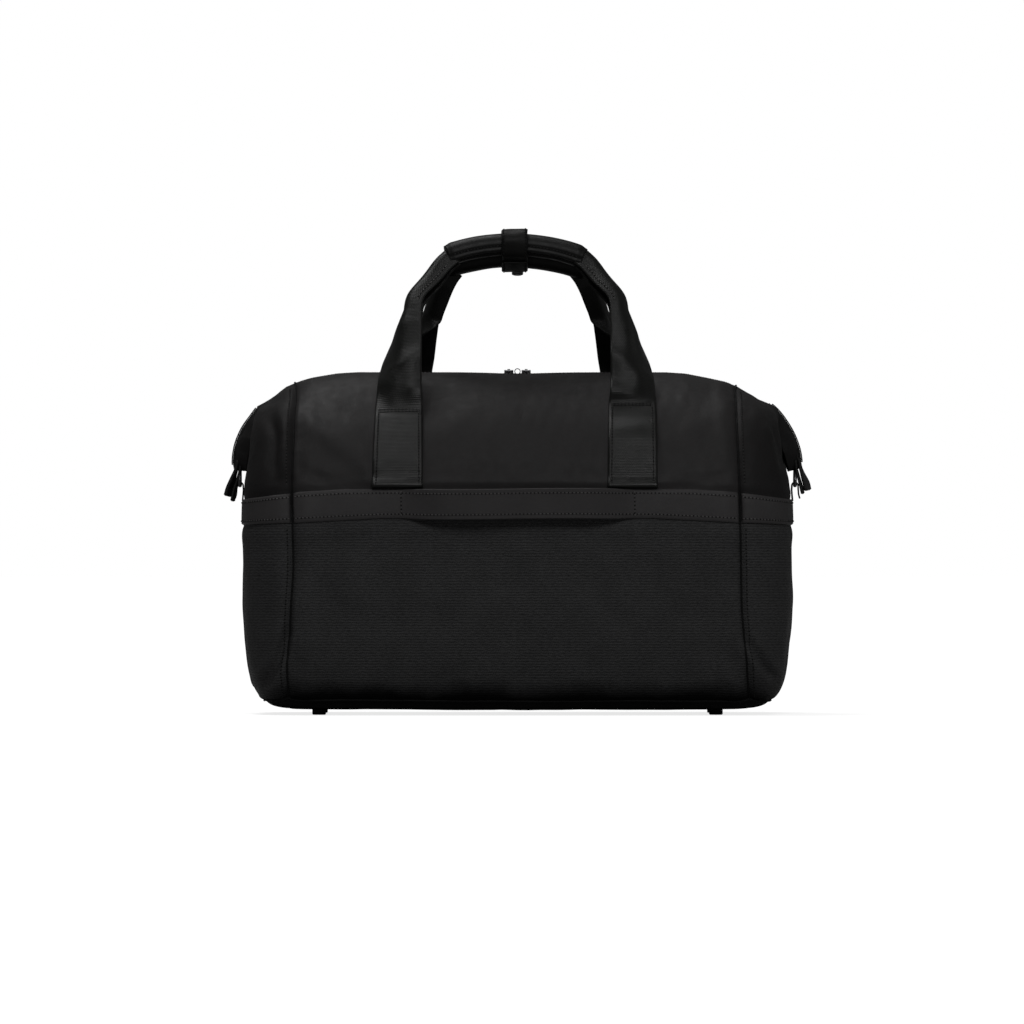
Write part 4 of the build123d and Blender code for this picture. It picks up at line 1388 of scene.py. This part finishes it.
def grip(handle, sides=56):
    """A padded tube bent along an arc, with a seam ridge along it."""
    kind, up = handle.kind, handle.up
    back = kind == "back"
    end_angle = math.asin(GRIP_HALF / GRIP_BEND)
    angle = np.linspace(-end_angle, end_angle, 110)
    sideways = GRIP_BEND * np.sin(angle)
    height = handle.length - GRIP_BEND + GRIP_BEND * np.cos(angle)
    height = height - 0.022 * sideways - 0.00028 * (GRIP_BEND * angle) ** 2
    height = height + (2.4 if back else 1.2)
    path = handle.hinge + X_AXIS * (sideways - 1.6)[:, None] + up * height[:, None]
    radial = X_AXIS * np.sin(angle)[:, None] + up * np.cos(angle)[:, None]
    # turn 0 looks out of the arc, 90 degrees to the handle's outer side
    turn = np.arange(sides) / sides * 2 * math.pi
    share = np.linspace(0, 1, len(angle))
    end = np.minimum(rise(share, 0, 0.05), rise(1 - share, 0, 0.05))
    radius = (GRIP_RADIUS + (0.5 if back else 0.0)) * (0.86 + 0.14 * end)
    seam = math.radians(146)
    from_seam = np.abs((turn - seam + math.pi) % (2 * math.pi) - math.pi)
    profile = 1.15 * bell(from_seam, 0.13) - 0.75 * bell(from_seam - 0.32, 0.13)
    profile = profile - 0.175 * (1 - np.cos(2 * turn))
    away = np.cos(turn)[:, None] * radial[:, None] + np.sin(turn)[:, None] * handle.normal
    grid = path[:, None] + away * (radius[:, None] + profile)[..., None]
    waves = Waves(60 + (not back), 34)
    grid = grid + away * (0.22 * waves(grid))[..., None]

    def mouth(i, part, inward):
        """A ring of the turned-in mouth."""
        return path[i] + (grid[i] - path[i]) * part + (path[1] - path[0]) * inward

    rings = np.stack([
        mouth(0, 0.50, 1.6), mouth(0, 0.72, 0.0), *grid,
        mouth(-1, 0.72, 0.0), mouth(-1, 0.50, -1.6),
    ])
    girth = np.arange(sides) * 2 * math.pi * GRIP_RADIUS / sides
    uv = mesh_uv(np.linspace(0, 125, len(rings)), girth).reshape(-1, 2)
    faces = tube_faces(len(rings), sides)
    obj = link(f"cloth_{kind}_grip", rings.reshape(-1, 3), faces, uv, MATS["grip"])
    body = kind + "_handle"
    done(obj, body, "grip_cover", body + "_grip_cover", body + "_grip_foam")
    stitches = Stitches()
    for offset in (-0.40, 0.40):
        k = int(round((seam + offset) / (2 * math.pi) * sides)) % sides
        line = grid[4:-4, k]
        stitches.row("grip", line, unit(line - path[4:-4]))
    stitches.make(f"thread_{kind}_grip", body, "grip_cover", "thread2")


for handle in HANDLES:
    for (side_name, side), part in zip(SIDES, ("webbing", "sewn_ends")):
        strap(handle, side, f"strap_{handle.kind}_{side_name}", f"{handle.kind}_handle_{part}")
for handle in HANDLES:
    grip(handle)

# ================================================================ snap wrap round both grips
WRAP_BACK, WRAP_FRONT = np.array([-2.4, -9.6, 411.5]), np.array([-2.4, 9.2, 400.8])
WRAP_RADIUS = 12.1
WRAP_HALF = 11.0  # half its width along x
WRAP_THICK = 1.7
WRAP_FOLD = np.array([-2.4, 0.65, 418.7])  # the flap turns about this line, so it splits here
WRAP_MIDDLE = (WRAP_BACK + WRAP_FRONT) / 2
WRAP_AXIS = unit(WRAP_FRONT - WRAP_BACK)
WRAP_UP = np.array([0, -WRAP_AXIS[2], WRAP_AXIS[1]])
WRAP_REACH = float(np.linalg.norm(WRAP_FRONT - WRAP_BACK)) / 2


def wrap_paths():
    """Back and front halves of the loop, starting at the bottom split and going up the back."""

    def straight(top, places):
        along = WRAP_AXIS * WRAP_REACH * places[:, None]
        return WRAP_MIDDLE + WRAP_UP * (WRAP_RADIUS * top) + along

    def turn(centre, end):
        angle = np.linspace(0, math.pi, 26)[:, None]
        ring = WRAP_UP * np.cos(angle) + WRAP_AXIS * np.sin(angle)
        return centre + WRAP_RADIUS * end * ring

    fold = float((WRAP_FOLD - WRAP_MIDDLE) @ WRAP_AXIS) / WRAP_REACH
    back = np.concatenate([
        straight(-1, -np.linspace(0, 1, 8)[:-1]),
        turn(WRAP_BACK, -1),
        straight(1, np.linspace(-1, fold, 8)[1:]),
    ])
    front = np.concatenate([
        straight(1, np.linspace(fold, 1, 8)[:-1]),
        turn(WRAP_FRONT, 1),
        straight(-1, -np.linspace(-1, 0, 8)[1:]),
    ])
    back, front = resample(back, step=1.2), resample(front, step=1.2)
    # the front half carries on under the start of the back half
    steps = np.arange(1, 4)[:, None]
    onward = unit(front[-1] - front[-3])
    tail = front[-1] + onward * steps * 1.2 - WRAP_UP * steps * 0.7
    return back, np.concatenate([front, tail])


def wrap_half(part, path, body, waves):
    xs = np.linspace(-WRAP_HALF, WRAP_HALF, 15)
    normals = np.cross(X_AXIS, tangents(path))
    lift = 1.5 - 0.5 * (xs / WRAP_HALF) ** 4
    grid = path[:, None] + X_AXIS * xs[:, None] + normals[:, None] * lift[None, :, None]
    grid = grid + normals[:, None] * (0.30 * waves(grid))[..., None]
    if part == "base":
        grid[..., 0] += 0.35 * np.sin(path[:, 2] * 0.4)[:, None]
    obj = sheet("cloth_wrap_" + part, grid, WRAP_THICK, MATS["wrap"], flip=True)
    done(obj, body, "grip_cover", "handle_wrap_" + part)
    stitches = Stitches()
    for column in (1, 13):
        stitches.row("wrap", grid[2:-2, column], normals[2:-2])
    stitches.make("thread_wrap_" + part, body, "grip_cover", "thread3")


def wrap_fold():
    """A small roll on the turning line that joins both halves at every angle."""
    xs = np.linspace(-10.9, 10.9, 15)
    radius = 1.85 - 0.5 * (xs / WRAP_HALF) ** 4
    path = WRAP_FOLD + X_AXIS * xs[:, None]
    obj = tube("cloth_wrap_fold", path, Z_AXIS, radius, MATS["wrap"], 20)
    done(obj, "back_handle", "grip_cover")


wrap_waves = Waves(77, 18)
back_path, front_path = wrap_paths()
wrap_half("base", back_path, "back_handle", wrap_waves)
wrap_half("flap", front_path, "wrap_flap", wrap_waves)
wrap_fold()

# ================================================================ wings
WING_OUTER = {  # x, z of the ridge, from the top down
    -1: [(-226.983, 269.393), (-233.595, 260.345), (-240.381, 250.775), (-245.601, 239.465),
         (-248.037, 229.895), (-248.907, 220.325), (-247.863, 213.365)],
    1: [(220.545, 272.177), (227.94, 265.565), (235.335, 255.995), (241.86, 244.685),
        (246.123, 233.375), (248.037, 223.805), (248.385, 215.105)],
}
WING_INNER = {  # x, z of the side towards the bag
    -1: [(-224.895, 267.74), (-227.157, 258.605), (-229.941, 248.165), (-232.551, 237.725),
         (-234.813, 227.285), (-236.379, 219.455), (-237.423, 212.495)],
    1: [(218.805, 269.915), (221.937, 260.345), (225.939, 249.035), (229.767, 237.725),
        (233.073, 227.285), (235.857, 218.585), (238.293, 212.495)],
}
# share of the way down, half depth along y
WING_DEPTH = ([0, 0.08, 0.25, 0.5, 0.72, 0.88, 1.0], [4.0, 8.0, 17.0, 26.0, 25.0, 18.0, 12.0])
WING_ROWS = 60
WING_TAPE_HALF = 9.5


def in_plane(points):
    """(x, z) points as 3D points at y = 0."""
    points = np.asarray(points, float)
    return np.stack([points[:, 0], 0 * points[:, 0], points[:, 1]], 1)


def wing_body(name, side, ridge, inner_line, share):
    theta = np.linspace(-1, 1, 41)
    bulge = (1 - np.abs(theta) ** 1.7)[:, None]
    spread = np.sign(theta) * np.abs(theta) ** 0.9
    rows = []
    for outer, inner, depth in zip(ridge, inner_line, np.interp(share, *WING_DEPTH)):
        y = Y_AXIS * (depth * spread)[:, None]
        outside = inner + (outer - inner) * bulge + y
        # the inner face is hollowed a little
        hollow = unit(outer - inner) * (1.3 * (1 - theta**2))[:, None]
        inside = inner + y * 0.96 - hollow
        rows.append(np.concatenate([outside, inside[::-1][1:-1]]))
    grid = np.stack(rows)
    away = unit(grid - grid.mean(1, keepdims=True))
    folds = np.sin(grid[..., 2] * 0.30 + 0.9 * np.sin(grid[..., 1] * 0.2))
    relief = 0.5 * folds * bell(np.abs(grid[..., 1]) - 12, 10)
    relief = relief + 0.45 * Waves(90 + (side > 0), 30)(grid)
    grid = grid + away * relief[..., None]
    faces = tube_faces(*grid.shape[:2])
    uv = arc_uv(grid).reshape(-1, 2)
    obj = link("cloth_" + name, grid.reshape(-1, 3), faces, uv, MATS["wing"])
    done(obj, name, "wing_cloth", name)


def wing(side_name, side):
    """A padded wing with a zip down its ridge."""
    name = side_name + "_wing"
    ridge = in_plane(spline(WING_OUTER[side], WING_ROWS))
    share = np.linspace(0, 1, WING_ROWS)
    wing_body(name, side, ridge, in_plane(spline(WING_INNER[side], WING_ROWS)), share)
    normals = side * unit(np.cross(tangents(ridge), Y_AXIS))
    y = np.linspace(-WING_TAPE_HALF, WING_TAPE_HALF, 15)
    lift = 0.55 - (np.abs(y) / WING_TAPE_HALF) ** 1.7 * 3.4
    width = np.interp(share[2:-1], [0, 0.15, 1], [0.6, 1.0, 0.9])[:, None, None]
    tape = ridge[2:-1, None] + Y_AXIS * (y[None, :, None] * width)
    tape = tape + normals[2:-1, None] * lift[None, :, None]
    obj = sheet(f"cloth_{name}_tape", tape, 0.8, MATS["tape"], flip=side < 0)
    done(obj, name, "zip_tape")
    for letter, half in (("a", -1), ("b", 1)):
        coil(f"coil_{name}_{letter}", name, ridge[2:-3], normals[2:-3], Y_AXIS, half, 1.2)
    stitches = Stitches()
    for column in (2, 12):
        stitches.row("wing", tape[:, column], normals[2:-1])
    stitches.make("thread_" + name, name, "wing_cloth", "thread3")


for side_name, side in SIDES:
    wing(side_name, side)

# ================================================================ webbing tabs
TABS = {  # x, z of the outer leaf, then of the inner leaf
    -1: ([(-244.905, 221.195), (-246.645, 213.365), (-249.603, 204.665), (-252.213, 196.835),
          (-253.692, 191.18)],
         [(-242.121, 221.195), (-242.991, 212.495), (-245.253, 203.795), (-247.863, 195.095),
          (-249.429, 186.83)]),
    1: ([(246.645, 222.935), (248.211, 215.105), (250.821, 208.145), (253.257, 202.055),
         (254.475, 196.4)],
        [(243.861, 222.065), (244.557, 214.235), (246.645, 206.405), (248.907, 198.575),
         (250.125, 193.355)]),
}
TAB_WIDTH = 22.5
TAB_LEAVES = ((2.8, 11.0, 1.0), (2.3, 4.0, -1.0))  # thickness, twist in degrees, stitched side
RING_X, RING_Z, RING_BEND = 243.2, 200.0, 2.75  # centre and radius of the D-ring's loop
RING_TAB_WIDTH = 19.0


def tab(name, path, width, body, nodes, thick, twist=0.0):
    """A strip of webbing that twists towards its free end."""
    path = resample(path, step=0.9)
    normals = unit(np.cross(tangents(path), Y_AXIS))
    y = np.linspace(-1, 1, 15)
    turn = math.radians(twist) * rise(np.linspace(0, 1, len(path)), 0.1, 0.9)
    across = Y_AXIS * np.cos(turn)[:, None] + normals * np.sin(turn)[:, None]
    grid = path[:, None] + across[:, None] * (y[None, :, None] * width / 2)
    grid = grid + normals[:, None] * (0.25 * np.sin(y * 3.1 + 0.6))[None, :, None]
    obj = sheet(name, grid, thick, MATS["tabweb"], centred=True)
    done(obj, body, "webbing", *nodes)


def wing_tab(side_name, side):
    """Two leaves at the wing's end, open at the bottom."""
    name = side_name + "_wing"
    for k, (leaf, (thick, twist, facing)) in enumerate(zip(TABS[side], TAB_LEAVES)):
        path = in_plane(leaf)
        nodes = [name + "_tab"] if k == 0 else []
        tab(f"cloth_{name}_tab_{k}", path, TAB_WIDTH, name, nodes, thick, twist)
        out = X_AXIS * side * facing
        line = resample(path, count=20)[5] + out + Y_AXIS * np.linspace(-9, 9, 30)[:, None]
        stitches = Stitches()
        stitches.row("tab", line, out + 0.25 * Z_AXIS)
        stitches.make(f"thread_{name}_tab_{k}", name, "webbing")


def ring_tab(side_name, side):
    """Loop that holds the D-ring, sewn down behind the band's top edge."""
    points = [(RING_X - 2.2, 186.5), (RING_X - 2.6, 191), (RING_X - 3.0, 196)]
    for angle in np.linspace(math.pi, 0, 14):
        points.append(
            (RING_X + RING_BEND * math.cos(angle), RING_Z + RING_BEND * math.sin(angle))
        )
    points += [(RING_X + 2.9, 196.5), (RING_X + 3.2, 192.5), (RING_X + 4.2, 188.8)]
    path = in_plane(points) * [side, 1, 1]
    node = side_name + "_d_ring_tab"
    tab(f"cloth_{side_name}_ring_tab", path, RING_TAB_WIDTH, "bag", [node], thick=0.95)


for side_name, side in SIDES:
    wing_tab(side_name, side)
    ring_tab(side_name, side)

# ================================================================ front pocket
POCKET_HALF, POCKET_LOW, POCKET_HIGH, POCKET_CORNER = 184.5, 25.5, 156.5, 15.0
POCKET_INSET = 4.5  # of the stitches
ZIP_Y, ZIP_Z = 118.1, 164.0


def pocket_pos(x, z, off):
    level = level_at_height(z)
    return PANELS["front"].pos(PANELS["front"].across_at_x(x, level), level, off)


def pocket_off(inset):
    return 1.3 + 4.4 * rise(inset, 0, 13)


def pocket_grid():
    """x and z over the pocket; the grid's corners are pulled in to round them."""
    g = np.linspace(-1, 1, 200)
    x, z = np.meshgrid(
        np.sign(g) * (1 - (1 - np.abs(g)) ** 1.25) * POCKET_HALF,
        POCKET_LOW + (POCKET_HIGH - POCKET_LOW) * np.linspace(0, 1, 78),
        indexing="ij",
    )
    corner = POCKET_CORNER
    from_end = POCKET_HALF - np.abs(x)
    edges = ((z - POCKET_LOW, POCKET_LOW, 1), (POCKET_HIGH - z, POCKET_HIGH, -1))
    for from_edge, edge_z, up in edges:
        inside = (from_end < corner) & (from_edge < corner)
        a, b = (corner - from_end) / corner, (corner - from_edge) / corner
        r = np.hypot(a, b)
        pull = np.where(inside & (r > 1e-6), np.maximum(a, b) / np.maximum(r, 1e-6), 1.0)
        x = np.where(inside, np.sign(x) * (POCKET_HALF - corner + a * pull * corner), x)
        z = np.where(inside, edge_z + up * (corner - b * pull * corner), z)
    return x, z


def pocket():
    x, z = pocket_grid()
    inset = np.minimum(np.minimum(POCKET_HALF - np.abs(x), z - POCKET_LOW), POCKET_HIGH - z)
    beyond_x = np.maximum(np.abs(x) - (POCKET_HALF - POCKET_CORNER), 0)
    beyond_z = np.maximum(POCKET_LOW + POCKET_CORNER - z, z - (POCKET_HIGH - POCKET_CORNER))
    from_corner = np.hypot(beyond_x, np.maximum(beyond_z, 0))
    inset = np.minimum(inset, POCKET_CORNER - from_corner)
    points = np.stack([x, 0 * x, z], -1)
    off = pocket_off(inset) + 1.2 * rise(inset, 10, 60) * bell(z - 80, 60)
    off = off + 0.4 * Waves(120, 70)(points) * rise(inset, 3, 20)
    off = off + 0.22 * Waves(121, 26)(points) * rise(inset, 3, 12)
    off = off - 0.35 * bell(inset - POCKET_INSET, 1.2)
    uv = np.stack([x, z], -1)
    grid = pocket_pos(x, z, off)
    obj = sheet("cloth_front_pocket", grid, 1.8, MATS["lower"], uv=uv, flip=True)
    done(obj, "bag", "lower_cloth", "front_pocket_panel")


def pocket_stitches():
    """One row just inside the pocket's edge."""
    radius = POCKET_CORNER - POCKET_INSET
    x = POCKET_HALF - POCKET_CORNER
    low, high = POCKET_LOW + POCKET_CORNER, POCKET_HIGH - POCKET_CORNER
    points = []
    for cx, cz, start in ((x, high, 0), (-x, high, 90), (-x, low, 180), (x, low, 270)):
        for angle in np.radians(np.linspace(start, start + 90, 10)):
            points.append((cx + radius * math.cos(angle), 0.0, cz + radius * math.sin(angle)))
    line = resample(points, step=2.0, closed=True)
    line = pocket_pos(line[:, 0], line[:, 2], pocket_off(POCKET_INSET) - 0.25)
    body_stitches.row("pocket", line, [0, 1.0, 0.05])


def upright(x, y, z):
    """Grid of points over x and z; y may vary over it."""
    return np.stack(np.broadcast_arrays(x[:, None], y, z[None, :]), -1).astype(float)


def pocket_zip():
    """Tapes, coil halves, and a short cloth cap over each end."""
    for part, low, high in (("lower", 157.4, 163.2), ("upper", 164.8, 170.6)):
        x = np.linspace(-172, 172, 120)
        y = ZIP_Y + 0.25 + 0.15 * np.sin(x * 0.12)
        grid = upright(x, y[:, None], np.linspace(low, high, 5))
        obj = sheet("cloth_pocket_tape_" + part, grid, 0.8, MATS["tape"], flip=True)
        done(obj, "bag", "zip_tape", "pocket_zip_tape_" + part)
    x = np.linspace(-170, 170, 300)
    path = np.stack([x, np.full(300, ZIP_Y + 0.9), np.full(300, ZIP_Z)], 1)
    for part, half in (("lower", -1), ("upper", 1)):
        coil("coil_pocket_" + part, "bag", path, Y_AXIS, Z_AXIS, half, 0.0,
             "pocket_zip_coil_" + part)
    for letter, side in (("a", -1), ("b", 1)):
        x = side * np.linspace(168, 180, 8)
        y = ZIP_Y + 1.5 - 1.8 * rise(np.abs(x), 172, 180)
        grid = upright(x, y[:, None], np.linspace(156.8, 171.0, 9))
        name = "cloth_pocket_zip_end_" + letter
        done(sheet(name, grid, 1.2, MATS["band"], flip=side > 0), "bag", "band_cloth")


def inside_pocket():
    """Panel and zip on the inside of the back wall, placed by their CAD boxes."""
    low, high = np.array(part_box("inside_pocket_panel")) / MM
    x, z = np.linspace(low[0] + 1, high[0] - 1, 60), np.linspace(61, 171, 34)
    share_x, share_z = (x - x[0]) / (x[-1] - x[0]), (z - 61) / 110
    bow = 0.8 * np.sin(share_x * math.pi)[:, None] * np.sin(share_z * math.pi)
    grid = upright(x, high[1] + bow, z)
    obj = sheet("cloth_inside_pocket", grid, 1.0, MATS["lining"], flip=True)
    done(obj, "bag", "lining", "inside_pocket_panel")
    low, high = np.array(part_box("inside_pocket_zip")) / MM
    x = np.linspace(low[0] + 2, high[0] - 2, 200)
    path = np.stack([x, np.full(200, low[1] + 1.0), np.full(200, (low[2] + high[2]) / 2)], 1)
    teeth = Bag()
    reach = 2.2 * Z_AXIS
    add_grains(teeth, path + reach, path - reach, np.broadcast_to(Y_AXIS, path.shape), 0.55)
    obj = teeth.make("coil_inside_pocket", MATS["coil"])
    done(obj, "bag", "zip_coil", "inside_pocket_zip")


pocket()
pocket_stitches()
pocket_zip()
inside_pocket()
body_stitches.make("thread_body_stitches", "bag", "band_cloth")
seam_stitches.make("thread_seam_stitches", "bag", "lower_cloth", "thread2")
strap_stitches.make("thread_strap_stitches", "bag", "webbing", "thread2")

# ================================================================ hard parts kept from the CAD
HARD_PARTS = {
    "board": ["base_board"],
    "rubber": ["feet"],
    "zipmetal": ["main_slider_left", "main_slider_right", "main_puller_left",
                 "main_puller_right", "pocket_slider", "pocket_puller"],
    "ringmetal": ["left_d_ring", "right_d_ring", "left_wing_snap_socket",
                  "right_wing_snap_socket", "left_wing_snap_stud", "right_wing_snap_stud",
                  "handle_wrap_snap_cap"],
}
for key, nodes in HARD_PARTS.items():
    for node in nodes:
        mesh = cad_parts[node].data
        mesh.materials.clear()
        mesh.materials.append(MATS[key])
        for polygon in mesh.polygons:
            polygon.material_index = 0

# ================================================================ stage, light and camera (metres)
FLOOR_RADII = (1.0, 500.0, 2000.0, 8000.0, 26000.0)  # mm
FLOOR_SIDES = 96


def stage_material(name, value, glow):
    """Matt white that glows for the camera only, fully so far from the bag."""
    s = Shader(name)
    patches = s.remap(s.noise(s.coord("Object", (3, 3, 3)), scale=1.0), 0.3, 0.7, 0, 1)
    white = (value, value, value)
    x, y, _ = s.split(s.coord("Object", (1, 1, 1)))
    squares = s.math("ADD", s.math("MULTIPLY", x, x), s.math("MULTIPLY", y, y))
    near = s.remap(s.math("SQRT", squares), 1.2, 4.0, glow, 1.0)
    camera_ray = s.node("LightPath").outputs["Is Camera Ray"]
    s.set(
        Base_Color=s.mix(patches, rgb(white), rgb(white, 0.985)),
        Roughness=0.9,
        Specular_IOR_Level=0.1,
        Emission_Color=(1, 1, 1, 1),
        Emission_Strength=s.math("MULTIPLY", camera_ray, near),
    )
    return s.mat


def stage_floor():
    angle = np.linspace(0, 2 * math.pi, FLOOR_SIDES + 1)[:-1]
    ring = np.stack([np.cos(angle), np.sin(angle), 0 * angle], 1)
    verts = np.concatenate([radius * ring for radius in FLOOR_RADII])
    faces = grid_faces(len(FLOOR_RADII), FLOOR_SIDES, wrap_columns=True)
    mat = stage_material("stage_white", value=0.36, glow=0.78)
    link("stage_floor", verts, faces, None, mat)


def studio_world(seen, lit):
    """White of one strength for the camera and another for lighting."""
    world = bpy.data.worlds.new("studio")
    bpy.context.scene.world = world
    world.use_nodes = True
    nodes, links = world.node_tree.nodes, world.node_tree.links
    nodes.clear()
    output = nodes.new("ShaderNodeOutputWorld")
    mix = nodes.new("ShaderNodeMixShader")
    for socket, strength in ((2, seen), (1, lit)):
        background = nodes.new("ShaderNodeBackground")
        background.inputs[0].default_value = (1.0, 1.0, 1.0, 1)
        background.inputs[1].default_value = strength
        links.new(background.outputs[0], mix.inputs[socket])
    links.new(nodes.new("ShaderNodeLightPath").outputs["Is Camera Ray"], mix.inputs[0])
    links.new(mix.outputs[0], output.inputs[0])


def area_light(name, location, target, size, power):
    light = bpy.data.lights.new(name, "AREA")
    light.shape = "RECTANGLE"
    light.size, light.size_y = size
    light.energy = power
    obj = bpy.data.objects.new(name, light)
    bpy.context.scene.collection.objects.link(obj)
    obj.location = location
    obj.rotation_mode = "QUATERNION"
    aim = Vector(target) - Vector(location)
    obj.rotation_quaternion = aim.to_track_quat("-Z", "Y")


def camera():
    """A long lens square on to the back."""
    data = bpy.data.cameras.new("camera")
    data.lens = 500
    data.sensor_width = 36
    data.clip_end = 60
    obj = bpy.data.objects.new("camera", data)
    bpy.context.scene.collection.objects.link(obj)
    obj.location = (-0.0048, -12.465, 0.1768)
    obj.rotation_euler = (math.radians(90), 0, 0)
    bpy.context.scene.camera = obj


stage_floor()
studio_world(seen=1.0, lit=0.13)
area_light("light_key", (0.30, -2.9, 2.2), target=(0, 0, 0.15), size=(1.5, 1.2), power=60)
area_light("light_top", (-0.6, 0.40, 2.5), target=(0, 0, 0.25), size=(1.8, 1.0), power=42)
area_light("light_right", (2.9, -0.6, 1.2), target=(0, 0, 0.2), size=(1.0, 1.0), power=8)
camera()
bpy.context.scene.view_settings.view_transform = "Standard"
